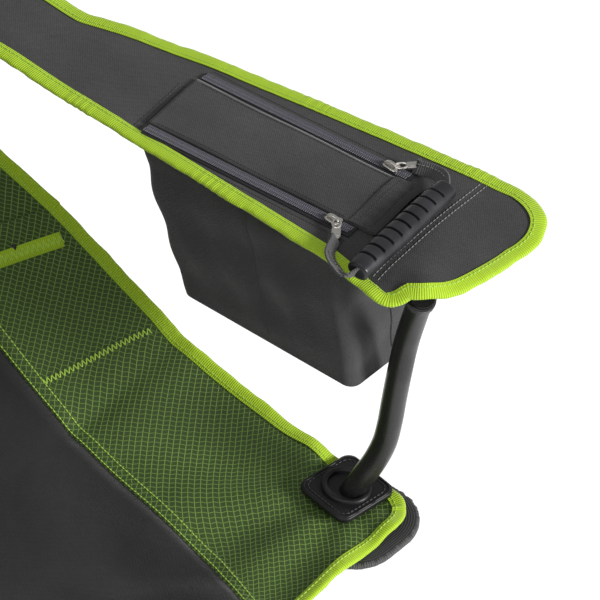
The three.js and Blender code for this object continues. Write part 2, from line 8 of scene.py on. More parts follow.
import bmesh
import bpy
import numpy as np
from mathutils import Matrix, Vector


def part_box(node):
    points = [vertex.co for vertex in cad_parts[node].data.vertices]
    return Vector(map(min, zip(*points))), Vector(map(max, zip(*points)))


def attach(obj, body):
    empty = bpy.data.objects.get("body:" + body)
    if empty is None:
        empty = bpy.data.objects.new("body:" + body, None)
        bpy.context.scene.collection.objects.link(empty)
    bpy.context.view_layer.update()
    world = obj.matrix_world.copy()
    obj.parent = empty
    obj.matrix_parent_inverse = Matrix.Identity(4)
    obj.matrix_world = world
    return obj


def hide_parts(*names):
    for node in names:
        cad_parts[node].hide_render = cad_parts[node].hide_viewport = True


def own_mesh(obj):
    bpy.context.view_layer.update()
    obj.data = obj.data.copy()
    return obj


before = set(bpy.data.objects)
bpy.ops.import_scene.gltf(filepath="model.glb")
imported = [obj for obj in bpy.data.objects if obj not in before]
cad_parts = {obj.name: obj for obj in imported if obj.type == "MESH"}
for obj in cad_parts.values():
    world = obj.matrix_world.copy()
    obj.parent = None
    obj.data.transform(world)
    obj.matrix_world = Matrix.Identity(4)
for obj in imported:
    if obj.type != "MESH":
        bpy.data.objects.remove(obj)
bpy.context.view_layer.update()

bl_info = {
    "name": "Folding camp chair",
    "version": (1, 0, 0),
    "blender": (4, 5, 0),
    "location": "View3D > Sidebar > Camp chair",
    "description": "Builds the cloth, bindings, zips, tubes and fittings of a folding camp chair",
    "category": "Add Mesh",
}

# ---- Measures taken from the frame ------------------------------------------------------------
MM = 1000.0
SHIFT = (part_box("foot_front_left")[0].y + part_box("foot_rear_left")[1].y) / 2
CORNER = MM * (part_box("back_post_left")[0].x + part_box("back_post_left")[1].x) / 2
HUB_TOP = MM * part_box("hub_front_left")[1].z
SEAT_HEIGHT = HUB_TOP + 20
SEAT_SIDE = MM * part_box("seat_left")[1].x
SEAT_FRONT = -CORNER - 54
ARM_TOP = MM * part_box("arm_left")[1].z
ARM_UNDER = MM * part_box("arm_left")[0].z
ARM_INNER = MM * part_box("arm_left")[0].x
BACK_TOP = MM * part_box("back_panel")[1].z + 4
JUNCTION = 0.46  # share of the sling from its front edge to the seam with the back
BACK_TILT = math.radians(15)
BACK_BEND = 662  # height at which the back posts lean away
TUBE = 8.5  # radius of every frame tube
PIVOT_INSET = 32  # of the leg pivots from the corner axes
LEG_OFFSET = TUBE + 1.5  # of each leg's axis from the plane of its side
FOOT_PIVOT = 34
HUB_PIVOT = HUB_TOP - 22
LEG_OVERHANG = 12  # of a leg past its pivots
LID_HINGE = np.array([299.0, -96.0])
LID_TURN = math.radians(5.5)
LID_LENGTH = 187
LID_HALF = 27
ZIP_AT = 32.5
ZIP_LENGTH = 172
SLIDER_AT = 158  # from the lid's hinge, as the grip is
GRIP_AT = 201
GRIP_SHIFT = 18
GRIP_LENGTH = 99
GRIP_RADIUS = 9.5
CUP_CENTRE = np.array([-316.0, -262.0])
CUP_RADIUS = 42
CUP_DEPTH = 112
BAG_DEPTH = 118
FOLD_KEEP = 0.278  # share of the chair's width and depth that is left when it is folded
ARM_KEEP = 0.524
BAG_KEEP = 0.12
ARM_FRONT = -CORNER - 94
PATCH_BASE = 431.8  # height of the corner patches' undersides
PATCH_SIDE = 49
PATCH_TURN = math.radians(-7)


def row(x, y, z):
    """A place in millimetres about the corner axes, as a point of the frame in metres."""
    return (x / MM, y / MM + SHIFT, z / MM)


# ---- Curves and grids -------------------------------------------------------------------------
def through(points, shares):
    """Centripetal Catmull-Rom curve through the points, at shares from 0 to 1 of its spans.

    Each span is a Hermite cubic whose end slopes weigh the chords round it by their square roots."""
    p = np.asarray(points, float)
    p = np.vstack([2 * p[0] - p[1], p, 2 * p[-1] - p[-2]])
    spans = len(p) - 3
    t = np.clip(np.asarray(shares, float), 0, 1) * spans
    i = np.minimum(t.astype(int), spans - 1)
    w = (t - i)[..., None]
    a, b, c, d = p[i], p[i + 1], p[i + 2], p[i + 3]
    pairs = ((a, b), (b, c), (c, d))
    ab, bc, cd = [np.sqrt(np.linalg.norm(r - q, axis=-1, keepdims=True)) for q, r in pairs]
    start = bc * ((b - a) / ab - (c - a) / (ab + bc) + (c - b) / bc)
    end = bc * ((c - b) / bc - (d - b) / (bc + cd) + (d - c) / cd)
    square = w**2 * (3 * (c - b) - 2 * start - end)
    return b + w * start + square + w**3 * (2 * (b - c) + start + end)


def distances(path):
    """Length along a polyline at each of its points."""
    steps = np.linalg.norm(np.diff(path, axis=0), axis=1)
    return np.concatenate([[0.0], np.cumsum(steps)])


def resample(path, count, start=0.0, end=None):
    """Evenly spaced points on a polyline, between two lengths along it."""
    along = distances(path)
    wanted = np.linspace(start, along[-1] if end is None else end, count)
    return np.stack([np.interp(wanted, along, path[:, k]) for k in range(path.shape[1])], axis=1)


def nearest(path, point):
    """Length along a polyline at its point nearest to the given one."""
    return distances(path)[np.argmin(np.linalg.norm(path - np.asarray(point, float), axis=1))]


def around(outline, count):
    """Evenly spaced points round a closed outline."""
    return resample(np.concatenate([outline, outline[:1]]), count + 1)[:-1]


def laid(flat, middle, right, ahead):
    """Points (n, 2) in the plane of two directions through a middle."""
    return middle + flat[:, :1] * right + flat[:, 1:] * ahead


def unit(vectors):
    """Vectors of length 1 along the given ones."""
    return vectors / np.maximum(np.linalg.norm(vectors, axis=-1, keepdims=True), 1e-12)


def directions(path, up, closed=False):
    """Unit vectors at each point of a path: along it, to its right, and up off it."""
    if closed:
        along = unit(np.roll(path, -1, axis=0) - np.roll(path, 1, axis=0))
    else:
        along = unit(np.gradient(path, axis=0))
    side = unit(np.cross(along, np.broadcast_to(up, path.shape)))
    return along, side, np.cross(side, along)


def sweep(path, profile, up=(0, 0, 1), closed=False):
    """Grid of a profile carried along a path: each point is the path's, plus its side times the
    profile's first number, plus its top times the second."""
    _, side, top = directions(path, up, closed)
    profile = np.broadcast_to(profile, (len(path), *np.shape(profile)[-2:]))
    return path[:, None] + side[:, None] * profile[..., :1] + top[:, None] * profile[..., 1:]


def circle(radius, sides=28):
    """Points round a circle, anticlockwise from its right side."""
    a = np.linspace(0, 2 * math.pi, sides, endpoint=False)
    return np.stack([radius * np.cos(a), radius * np.sin(a)], axis=1)


def rounded_box(width, height, corner, steps=4):
    """Outline of a rectangle about its middle, anticlockwise, with quarter circles at its corners."""
    a = np.linspace(0, math.pi / 2, steps + 1)
    arcs = []
    for k, (sx, sy) in enumerate(((1, 1), (-1, 1), (-1, -1), (1, -1))):
        centre = np.array([sx * (width / 2 - corner), sy * (height / 2 - corner)])
        turned = a + k * math.pi / 2
        arcs.append(centre + corner * np.stack([np.cos(turned), np.sin(turned)], axis=1))
    return np.concatenate(arcs)


def ripple(along, seed, longest=60.0, shortest=9.0, waves=9):
    """Smooth random wave of height about 1: sines of falling length and height, with seeded phases."""
    rng = np.random.default_rng(seed)
    total = np.zeros_like(np.asarray(along, float))
    for length in np.geomspace(longest, shortest, waves):
        height = (length / longest) ** 0.6 * rng.uniform(0.5, 1.0)
        total = total + height * np.sin(2 * math.pi * along / length + rng.uniform(0, 2 * math.pi))
    return total / math.sqrt(waves)


def smooth(x, low, high):
    """0 below low, 1 above high, and an S curve between."""
    t = np.clip((np.asarray(x, float) - low) / (high - low), 0, 1)
    return t * t * (3 - 2 * t)


def coons(low, high, left, right):
    """Grid between four edges, low and high across it and left and right along it: the sum of the
    two ruled surfaces between facing edges, less the flat one through the corners."""
    s = np.linspace(0, 1, len(low))[None, :, None]
    t = np.linspace(0, 1, len(left))[:, None, None]
    ruled = (1 - t) * low[None] + t * high[None] + (1 - s) * left[:, None] + s * right[:, None]
    near = (1 - t) * ((1 - s) * low[0] + s * low[-1])
    far = t * ((1 - s) * high[0] + s * high[-1])
    return ruled - near - far


def deepen(flat, height):
    """Points (..., 3) from plan points (..., 2) and a height, which is a number or an array."""
    return np.concatenate([flat, np.broadcast_to(height, flat.shape[:-1])[..., None]], axis=-1)


# ---- Meshes -----------------------------------------------------------------------------------
class Patchwork:
    """Grids of points, in millimetres, gathered into one mesh with a UV map in millimetres."""

    def __init__(self):
        self.points = []
        self.quads = []
        self.uvs = []
        self.marks = []
        self.count = 0

    def grid(self, points, uv=None, wrap=(False, False), mark=0):
        """Quads between the neighbours in a grid (n, m, 3), which closes round where wrap says so."""
        n, m = points.shape[:2]
        rows, columns = n + wrap[0], m + wrap[1]
        if uv is None:
            closed = points[np.arange(rows) % n][:, np.arange(columns) % m]
            down = np.linalg.norm(np.diff(closed, axis=0), axis=2).mean(axis=1)
            over = np.linalg.norm(np.diff(closed, axis=1), axis=2).mean(axis=0)
            v, u = np.concatenate([[0], np.cumsum(down)]), np.concatenate([[0], np.cumsum(over)])
            uv = np.stack(np.meshgrid(u, v), axis=-1)
        i, j = np.meshgrid(np.arange(rows - 1), np.arange(columns - 1), indexing="ij")
        around = ((i, j), (i + 1, j), (i + 1, j + 1), (i, j + 1))
        quads = np.stack([(a % n) * m + b % m for a, b in around], axis=-1).reshape(-1, 4)
        corner_uvs = np.stack([uv[a, b] for a, b in around], axis=2).reshape(-1, 2)
        return self.add(points.reshape(-1, 3), quads, corner_uvs, mark)

    def add(self, points, quads, uvs, mark=0):
        self.points.append(points)
        self.quads.append(quads + self.count)
        self.uvs.append(uvs)
        self.marks.append(np.full(len(quads), mark))
        self.count += len(points)
        return self

    def solid(self, rings, uv=None, mark=0, dome=0.0):
        """A closed tube of rings (n, m, 3), its ends closed by rings drawn in to their middles and
        pushed out by dome millimetres."""
        first, last = rings[0].mean(axis=0), rings[-1].mean(axis=0)
        outward = unit(last - first) if dome else np.zeros(3)
        parts = [rings]
        for share in (0.7, 0.0):
            rise = dome * math.sqrt(1 - share**2)
            parts.insert(0, (first + (rings[0] - first) * share - outward * rise)[None])
            parts.append((last + (rings[-1] - last) * share + outward * rise)[None])
        return self.grid(np.concatenate(parts), uv, (False, True), mark)

    def repeat(self, shape, places, along, side, top):
        """Copies of a small closed grid (n, m, 3), turned to the three directions at each place."""
        small = Patchwork().solid(shape)
        points, quads, uvs = small.points[0], small.quads[0], small.uvs[0]
        axes = np.stack([along, side, top], axis=1)
        copies = np.einsum("pk,nkc->npc", points, axes) + places[:, None]
        offsets = (np.arange(len(places)) * len(points))[:, None, None]
        all_quads = (quads[None] + offsets).reshape(-1, 4)
        return self.add(copies.reshape(-1, 3), all_quads, np.tile(uvs, (len(places), 1)))

    def mirrored(self):
        """The same patches on the chair's other side, with their faces still outwards."""
        other = Patchwork()
        for points, quads, uvs, marks in zip(self.points, self.quads, self.uvs, self.marks):
            other.points.append(points * (-1, 1, 1))
            other.quads.append(quads[:, ::-1])
            other.uvs.append(uvs.reshape(-1, 4, 2)[:, ::-1].reshape(-1, 2))
            other.marks.append(marks)
            other.count += len(points)
        return other

    def build(self, name, looks, thick=0.0, crease=40.0):
        """The mesh object: metres, doubles merged, shaded smooth up to an angle, and thickened."""
        points = np.concatenate(self.points) / MM + (0, SHIFT, 0)
        quads = np.concatenate(self.quads)
        mesh = bpy.data.meshes.new(name)
        mesh.vertices.add(len(points))
        mesh.vertices.foreach_set("co", points.astype(np.float32).ravel())
        mesh.loops.add(quads.size)
        mesh.loops.foreach_set("vertex_index", quads.astype(np.int32).ravel())
        mesh.polygons.add(len(quads))
        mesh.polygons.foreach_set("loop_start", np.arange(0, quads.size, 4, dtype=np.int32))
        mesh.polygons.foreach_set("material_index", np.concatenate(self.marks).astype(np.int32))
        cloth = mesh.uv_layers.new(name="cloth")
        cloth.uv.foreach_set("vector", np.concatenate(self.uvs).astype(np.float32).ravel())
        mesh.update(calc_edges=True)
        work = bmesh.new()
        work.from_mesh(mesh)
        bmesh.ops.remove_doubles(work, verts=work.verts, dist=2e-6)
        work.to_mesh(mesh)
        work.free()
        mesh.shade_smooth()
        mesh.set_sharp_from_angle(angle=math.radians(crease))
        for look in looks:
            mesh.materials.append(look_of(look))
        piece = bpy.data.objects.new(name, mesh)
        bpy.context.scene.collection.objects.link(piece)
        if thick:
            solidify = piece.modifiers.new("Thickness", "SOLIDIFY")
            solidify.thickness = thick / MM
            solidify.offset = -1
        return piece


def on_side(work, side):
    """Patches of the left side as they are, or mirrored for side -1."""
    return work if side == 1 else work.mirrored()


def add_piece(work, name, looks, body, stands_for=(), squash=None, side=1, thick=0.0, crease=40.0):
    """Builds a piece, mirrored on side -1, parents it to the body that it moves with and hides the nodes
    that it stands for. A piece given a squash gets a mesh of its own."""
    piece = on_side(work, side).build(name, looks, thick, crease)
    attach(piece, body)
    if stands_for:
        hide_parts(*stands_for)
    if squash:
        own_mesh(piece)
    return piece


SEAT_SQUASH = ((0, 1, 0), row(0, -CORNER, SEAT_HEIGHT), FOLD_KEEP)
BACK_SQUASH = ((1, 0, 0), row(CORNER, CORNER, SEAT_HEIGHT), FOLD_KEEP)
ARM_SQUASH = ((0, 1, 0), row(CORNER, -CORNER - 66, ARM_UNDER), ARM_KEEP)
BAG_SQUASH = ((0, 0, 1), row(CORNER, -CORNER, ARM_UNDER), BAG_KEEP)


def capsule(ends, radius):
    """Six-sided grid of a small capsule: places along it, each with its share of the radius."""
    ring = circle(radius, 6)
    return np.stack([np.column_stack([np.full(6, x), *(ring * share).T]) for x, share in ends])


def evenly(path, ups, pitch):
    """Points of a path at an even pitch, and the up directions there."""
    along = distances(path)
    wanted = np.linspace(0, along[-1], max(3, int(along[-1] / pitch) + 1))
    both = np.concatenate([path, np.broadcast_to(ups, path.shape)], axis=1)
    both = np.stack([np.interp(wanted, along, column) for column in both.T], axis=1)
    return both[:, :3], unit(both[:, 3:])


def stitches(work, path, ups, pitch, length, thick, rise=0.0):
    """Adds a row of stitches: small capsules, evenly spaced along a path and lying along it."""
    steps = 6  # of the path to each stitch, whose middle is on the third
    dense, ups = evenly(path, ups, pitch / steps)
    along, side, top = directions(dense, ups)
    pick = slice(steps // 2, None, steps)
    half = length / 2
    ends = ((-half, 0.35), (-0.6 * half, 0.9), (0, 1), (0.6 * half, 0.9), (half, 0.35))
    places = dense[pick] + top[pick] * (thick * 0.25 + rise)
    return work.repeat(capsule(ends, thick / 2), places, along[pick], side[pick], top[pick])


# ---- Materials --------------------------------------------------------------------------------
class Wire:
    """An output socket. Sums, products and powers written on it add Math nodes to its look."""

    def __init__(self, look, socket):
        self.look = look
        self.socket = socket

    def maths(self, operation, *values):
        return self.look.add("ShaderNodeMath", dict(enumerate(values)), operation=operation)

    def __add__(self, other):
        return self.maths("ADD", self, other)

    def __sub__(self, other):
        return self.maths("SUBTRACT", self, other)

    def __rsub__(self, other):
        return self.maths("SUBTRACT", other, self)

    def __mul__(self, other):
        return self.maths("MULTIPLY", self, other)

    def __abs__(self):
        return self.maths("ABSOLUTE", self)

    __radd__ = __add__
    __rmul__ = __mul__

    def sine(self):
        return self.maths("SINE", self)

    def fraction(self):
        return self.maths("FRACT", self)

    def largest(self, other):
        return self.maths("MAXIMUM", self, other)

    def between(self, low, high):
        """0 below low, 1 above high, and an S curve between."""
        values = {0: self, 1: low, 2: high, 3: 0.0, 4: 1.0}
        return self.look.add("ShaderNodeMapRange", values, interpolation_type="SMOOTHSTEP")


class Look:
    """A material: its Principled shader, whose constants are set at once, and what feeds it."""

    def __init__(self, name, **constants):
        self.material = bpy.data.materials.new(name)
        self.material.use_nodes = True
        self.tree = self.material.node_tree
        self.shader = self.tree.nodes["Principled BSDF"]
        for key, value in constants.items():
            self.shader.inputs[key.replace("_", " ")].default_value = value

    def add(self, kind, values=None, output=0, **settings):
        """Adds a node: its settings first, then the values or wires of its sockets."""
        node = self.tree.nodes.new(kind)
        for key, value in settings.items():
            setattr(node, key, value)
        for key, value in (values or {}).items():
            if isinstance(value, Wire):
                self.tree.links.new(value.socket, node.inputs[key])
            else:
                node.inputs[key].default_value = value
        return Wire(self, node.outputs[output])

    def cloth(self):
        """The two numbers of the piece's own UV map, in millimetres across and along the cloth."""
        uv = self.add("ShaderNodeUVMap", uv_map="cloth")
        return [self.add("ShaderNodeSeparateXYZ", {0: uv}, output=k) for k in (0, 1)]

    def space(self):
        return self.add("ShaderNodeTexCoord", output="Object")

    def pair(self, u, v):
        return self.add("ShaderNodeCombineXYZ", {0: u, 1: v})

    def noise(self, where, scale, detail=2.0, roughness=0.5):
        values = {"Vector": where, "Scale": scale, "Detail": detail, "Roughness": roughness}
        return self.add("ShaderNodeTexNoise", values)

    def mix(self, factor, a, b):
        """Colour between a and b, each a wire or three numbers."""
        a, b = [c if isinstance(c, Wire) else (*c, 1.0) for c in (a, b)]
        return self.add("ShaderNodeMix", {0: factor, 6: a, 7: b}, output=2, data_type="RGBA")

    def shade(self, colour, low, high, factor):
        """A colour that goes from low to high times itself with the factor."""
        return self.mix(factor, [low * c for c in colour], [high * c for c in colour])

    def finish(self, colour, roughness=None, height=None, depth=0.0001, strength=1.0, **more):
        """Feeds colour, roughness and a bump of a height, in metres, to the shader."""
        feeds = {"Base Color": colour, **{k.replace("_", " "): w for k, w in more.items()}}
        if roughness is not None:
            feeds["Roughness"] = roughness
        if height is not None:
            values = {"Height": height, "Distance": depth, "Strength": strength}
            feeds["Normal"] = self.add("ShaderNodeBump", values)
        for key, wire in feeds.items():
            self.tree.links.new(wire.socket, self.shader.inputs[key])
        return self.material


def settings():
    """The chair's settings, as the sidebar shows them."""
    return bpy.context.scene.camp_chair


def woven(u, v, pitch):
    """Height of a plain weave: threads of the pitch, in millimetres, crossing over and under."""
    turn = math.pi / pitch
    return (u * turn).sine() * (v * turn).sine() * 0.5 + 0.5


def polyester(name, colour, pitch=0.9):
    """Plain woven polyester: speckled threads, a broad creases, a large cloudiness and a soft sheen."""
    look = Look(name, Sheen_Weight=0.25, Sheen_Roughness=0.45, Specular_IOR_Level=0.35)
    u, v = look.cloth()
    weave = woven(u, v, pitch)
    threads = look.noise(look.pair(u, v), 0.8, 3.0, 0.8)
    slub = look.noise(look.pair(u * 0.9, v * 0.16), 0.9, 2.0, 0.6)
    cloud = look.noise(look.space(), 14.0, 2.0).between(0.35, 0.65)
    crease = look.noise(look.space(), 9.0, 4.0, 0.45)
    fleck = (threads * 0.6 + slub * 0.25 + weave * 0.15).between(0.3, 0.68)
    colour = look.mix(cloud, look.shade(colour, 0.6, 1.5, fleck),
                      look.shade(colour, 0.48, 1.2, fleck))
    height = weave * 0.5 + threads * 1.0 + crease * 26.0
    return look.finish(colour, 0.72 + 0.16 * fleck, height, 0.0004, 0.8)


def charcoal_cloth():
    return polyester("Charcoal polyester", settings().charcoal)


def painted_shade_seat_cloth():
    """The closer cloth of the seat's and the back's middle, darker than the charcoal: partly its own darker
    tone and partly painted shade of the arms' shadow on the seat.
    """
    return polyester("Seat polyester, painted shade", [0.42 * c for c in settings().charcoal], 0.8)


def ripstop_cloth():
    """Bias-cut ripstop: dark squares in a lighter grid, whose cross lines zigzag a little from
    square to square, with a fine weave in the squares."""
    look = Look("Green ripstop", Sheen_Weight=0.15, Sheen_Roughness=0.4, Specular_IOR_Level=0.5)
    pitch = MM * settings().ripstop_pitch
    u, v = look.cloth()
    across = (u - v) * (0.7071 / pitch)
    along = (u + v) * (0.7071 / pitch)
    zigzag = abs((across * 0.5).fraction() - 0.5) * 2.0
    line_a = abs(across.fraction() - 0.5)
    line_b = abs((along + 0.22 * zigzag).fraction() - 0.5)
    line = line_a.largest(line_b).between(0.385, 0.47)
    threads = look.noise(look.pair(u, v), 1.6, 3.0, 0.65)
    cloud = look.noise(look.space(), 16.0, 2.0)
    crease = look.noise(look.space(), 9.0, 4.0, 0.45)
    squares = look.shade(settings().ripstop_green, 0.72, 1.3, threads * 0.6 + cloud * 0.4)
    lines = look.shade(settings().ripstop_lines, 0.8, 1.2, threads)
    height = line * 0.9 + woven(u + v, u - v, 0.8) * 0.25 + crease * 40.0
    return look.finish(look.mix(line, squares, lines), 0.55 + 0.2 * threads, height, 0.00025, 0.8)


def ribbed(name, colour, rib, low=0.7, high=1.25, depth=0.0004, sheen=0.3, rough=0.6):
    """Tape woven in ribs across its length, with a plain selvedge feel and small changes of shade."""
    look = Look(name, Sheen_Weight=sheen, Sheen_Roughness=0.4, Specular_IOR_Level=0.35)
    u, v = look.cloth()
    ribs = (v * (2 * math.pi / rib)).sine() * 0.5 + 0.5
    threads = look.noise(look.pair(u * 1.6, v * 0.9), 1.2, 3.0, 0.7)
    tone = (ribs * 0.45 + threads * 0.55).between(0.15, 0.85)
    height = ribs * 0.7 + threads * 0.5
    return look.finish(look.shade(colour, low, high, tone), rough + 0.15 * threads, height, depth, 0.8)


def lime_tape():
    return ribbed("Lime grosgrain", settings().lime, 1.5, 0.74, 1.22, 0.0005)


def black_tape():
    return ribbed("Black webbing", (0.022, 0.022, 0.023), 1.7, 0.6, 1.5, 0.0006, 0.2, 0.68)


def charcoal_tape():
    return ribbed("Charcoal webbing", (0.062, 0.062, 0.062), 1.6, 0.55, 1.5, 0.0006, 0.25, 0.66)


def zip_cloth():
    return ribbed("Zip tape", (0.012, 0.0115, 0.015), 0.7, 0.75, 1.25, 0.0002, 0.25, 0.6)


def thread(name, colour):
    """Twisted sewing thread: fine slanting ply lines."""
    look = Look(name, Specular_IOR_Level=0.5)
    u, v = look.cloth()
    ply = ((u * 1.5 + v * 1.5) * math.pi).sine() * 0.5 + 0.5
    return look.finish(look.shade(colour, 0.75, 1.2, ply), 0.5 + 0.1 * ply, ply, 0.0001, 0.6)


def grey_thread():
    return thread("Grey thread", (0.20, 0.20, 0.19))


def dark_thread():
    return thread("Dark thread", (0.035, 0.035, 0.035))


def lime_thread():
    return thread("Lime thread", settings().lime_thread)


def powder_coat():
    """Satin powder coat with fine metal flake, a faint orange peel and rubbed patches."""
    look = Look("Dark powder coat", Metallic=0.35, Coat_Roughness=0.25, IOR=1.5)
    where = look.space()
    flake = look.noise(where, 1500.0, 1.0)
    peel = look.noise(where, 420.0, 2.0)
    rub = look.noise(where, 22.0, 3.0).between(0.5, 0.75)
    colour = look.mix(flake.between(0.56, 0.7) * 0.5, settings().steel, (0.07, 0.068, 0.066))
    return look.finish(colour, 0.36 + 0.08 * rub, peel + flake * 0.3, 0.00006, 0.5,
                       Coat_Weight=0.25 - 0.15 * rub)


def moulded_plastic():
    """Black nylon with a fine moulded grain and scuffed, slightly greyer patches."""
    look = Look("Moulded nylon", Specular_IOR_Level=0.45)
    where = look.space()
    grain = look.noise(where, 900.0, 2.0)
    scuff = look.noise(where, 35.0, 4.0).between(0.52, 0.72)
    colour = look.mix(scuff * 0.35, (0.014, 0.014, 0.015), (0.05, 0.05, 0.05))
    return look.finish(colour, 0.46 + 0.2 * scuff, grain, 0.00005, 0.6)


def patch_rubber():
    """Matt black rubber with a fine grain and dusty, paler wear."""
    look = Look("Patch rubber", Specular_IOR_Level=0.4)
    where = look.space()
    grain = look.noise(where, 1200.0, 2.0)
    dust = look.noise(where, 60.0, 3.0).between(0.5, 0.8)
    colour = look.mix(dust * 0.4, (0.0075, 0.0075, 0.008), (0.02, 0.02, 0.02))
    return look.finish(colour, 0.42 + 0.2 * dust, grain, 0.00004, 0.5)


def grip_rubber():
    """Soft satin rubber, a little violet, with rubbed patches here and there that are paler and rougher."""
    look = Look("Grip rubber", Specular_IOR_Level=0.45)
    where = look.space()
    grain = look.noise(where, 1400.0, 2.0)
    rub = look.noise(where, 45.0, 3.0).between(0.4, 0.75)
    colour = look.mix(rub * 0.6, (0.016, 0.016, 0.019), (0.034, 0.033, 0.039))
    return look.finish(colour, 0.30 + 0.15 * rub, grain, 0.00004, 0.5)


def nickel():
    """Nickel plate with fine scratches and dull, yellower patches."""
    look = Look("Nickel plate", Metallic=1.0)
    where = look.space()
    scratch = look.noise(where, 700.0, 4.0, 0.7)
    dull = look.noise(where, 160.0, 2.0).between(0.45, 0.7)
    colour = look.mix(dull * 0.5, (0.72, 0.70, 0.67), (0.45, 0.42, 0.36))
    return look.finish(colour, 0.18 + 0.25 * dull + 0.1 * scratch, scratch, 0.00003, 0.5)


def rivet_steel():
    look = Look("Rivet steel", Metallic=1.0)
    where = look.space()
    scratch = look.noise(where, 500.0, 4.0, 0.7)
    colour = look.shade((0.52, 0.52, 0.5), 0.7, 1.1, scratch)
    return look.finish(colour, 0.3 + 0.25 * scratch, scratch, 0.00003, 0.5)


def coil_nylon():
    """Glossy dark nylon of the zip's teeth."""
    look = Look("Coil nylon", Specular_IOR_Level=0.6)
    tone = look.noise(look.space(), 800.0, 2.0)
    return look.finish(look.shade((0.085, 0.082, 0.10), 0.7, 1.4, tone), 0.22 + 0.15 * tone)


def net_cloth():
    """Black knitted net, with small open holes in slanting rows."""
    look = Look("Black net", Sheen_Weight=0.2, Sheen_Roughness=0.5)
    u, v = look.cloth()
    pitch = 2.6
    a, b = (u + v * 0.6) * (math.pi / pitch), (u - v * 0.6) * (math.pi / pitch)
    holes = (abs(a.sine()) * abs(b.sine())).between(0.5, 0.72)
    threads = look.noise(look.pair(u, v), 2.2, 3.0)
    colour = look.shade((0.025, 0.025, 0.026), 0.6, 1.6, threads)
    return look.finish(colour, 0.7 + 0.1 * threads, threads - holes, 0.0003, 0.7, Alpha=1.0 - holes)


MAKERS = {
    "charcoal": charcoal_cloth, "painted shade seat cloth": painted_shade_seat_cloth, "ripstop": ripstop_cloth,
    "lime": lime_tape, "webbing": black_tape, "strap": charcoal_tape, "zip cloth": zip_cloth,
    "grey thread": grey_thread, "dark thread": dark_thread, "lime thread": lime_thread,
    "steel": powder_coat, "plastic": moulded_plastic, "patch": patch_rubber, "grip": grip_rubber,
    "nickel": nickel, "rivet": rivet_steel, "coil": coil_nylon, "net": net_cloth,
}
MADE = {}


def look_of(name):
    """The material of that name, made the first time that it is asked for."""
    if name not in MADE:
        MADE[name] = MAKERS[name]()
    return MADE[name]


# ---- Shape of the sling -----------------------------------------------------------------------
def along_back_post(z):
    """Depth of the back's cloth in front of the leaning posts, at a height."""
    return CORNER + max(0.0, z - BACK_BEND) * math.tan(BACK_TILT) - 15


# Left side edge of the sling, from the front of the seat to the top of the back.
SIDE_EDGE = [
    (SEAT_SIDE, SEAT_FRONT, SEAT_HEIGHT),
    (SEAT_SIDE - 4, SEAT_FRONT + 74, SEAT_HEIGHT + 1),
    (SEAT_SIDE - 9, SEAT_FRONT + 122, SEAT_HEIGHT + 12),
    (SEAT_SIDE - 12, SEAT_FRONT + 194, SEAT_HEIGHT + 32),
    (SEAT_SIDE - 15, SEAT_FRONT + 260, SEAT_HEIGHT + 61),
    (SEAT_SIDE - 18, SEAT_FRONT + 314, SEAT_HEIGHT + 92),
    (CORNER - 7, 0.3 * CORNER, SEAT_HEIGHT + 142),
    (CORNER - 25, 0.62 * CORNER, SEAT_HEIGHT + 198),
    (CORNER - 25, 0.86 * CORNER, SEAT_HEIGHT + 246),
    (CORNER - 10, along_back_post(SEAT_HEIGHT + 320) - 4, SEAT_HEIGHT + 320),
    (CORNER - 2, along_back_post(SEAT_HEIGHT + 400), SEAT_HEIGHT + 400),
    (CORNER - 2, along_back_post(BACK_TOP), BACK_TOP - 4),
]
# Middle line of the sling, which sags below the edges.
MIDDLE_LINE = [
    (0, SEAT_FRONT + 4, SEAT_HEIGHT - 9),
    (0, SEAT_FRONT + 70, SEAT_HEIGHT - 26),
    (0, -0.37 * CORNER, SEAT_HEIGHT - 42),
    (0, 0.2 * CORNER, SEAT_HEIGHT - 44),
    (0, 0.66 * CORNER, SEAT_HEIGHT - 26),
    (0, 0.9 * CORNER, SEAT_HEIGHT + 40),
    (0, CORNER, SEAT_HEIGHT + 150),
    (0, along_back_post(BACK_TOP - 200) + 20, BACK_TOP - 220),
    (0, along_back_post(BACK_TOP - 100) + 16, BACK_TOP - 110),
    (0, along_back_post(BACK_TOP - 40) + 6, BACK_TOP - 38),
]
SEAT_ROUND = 26  # radius of the seat's front corners
SEAT_RUN = 814  # length of the seat's side edge for a whole share along the sling, at its front
PATCH_PLACE = np.array([CORNER + 4.0, -CORNER - 9.0])


def seat_relief(x, y):
    """Height of the seat's folds: rays of pull from the corner patch, a dip along the cross seam, a
    lift of the edge behind the post, and long soft waves."""
    x = np.abs(x)
    dx, dy = PATCH_PLACE[0] - x, y - PATCH_PLACE[1]
    reach, angle = np.hypot(dx, dy), np.arctan2(dy, dx)
    rays = 2.4 * np.sin(8 * angle + 0.6) * np.exp(-(((reach - 78) / 46) ** 2))
    seam = y + 112 - 0.28 * (285 - x)
    dip = -3.2 * np.exp(-((seam / 11) ** 2)) * smooth(x, 150, 225)
    lift = 5.5 * np.exp(-(((y + 236) / 15) ** 2)) * smooth(x, 262, 292)
    waves = 1.3 * np.sin(x / 29 + y / 41) + 0.9 * np.sin(x / 17 - y / 23 + 1.1)
    folds = 2.6 * np.sin(x / 11 + y / 24 + 0.8 * np.sin(y / 19))
    folds = folds * smooth(x, 70, 120) * smooth(-x, -185, -150)
    waves = waves + folds * smooth(-y, 150, 220)
    return rays + dip + lift + waves * smooth(x, 60, 160) * smooth(-y, -20, 60)


def back_relief(x, z):
    """Depth of the back's soft waves, which fade towards its edges."""
    waves = 2.0 * np.sin(x / 47 + 0.4) * np.sin(z / 38) + 1.2 * np.sin(x / 26 - z / 31)
    return waves * smooth(z, SEAT_HEIGHT + 90, SEAT_HEIGHT + 200) * (1 - smooth(np.abs(x), 215, 262))


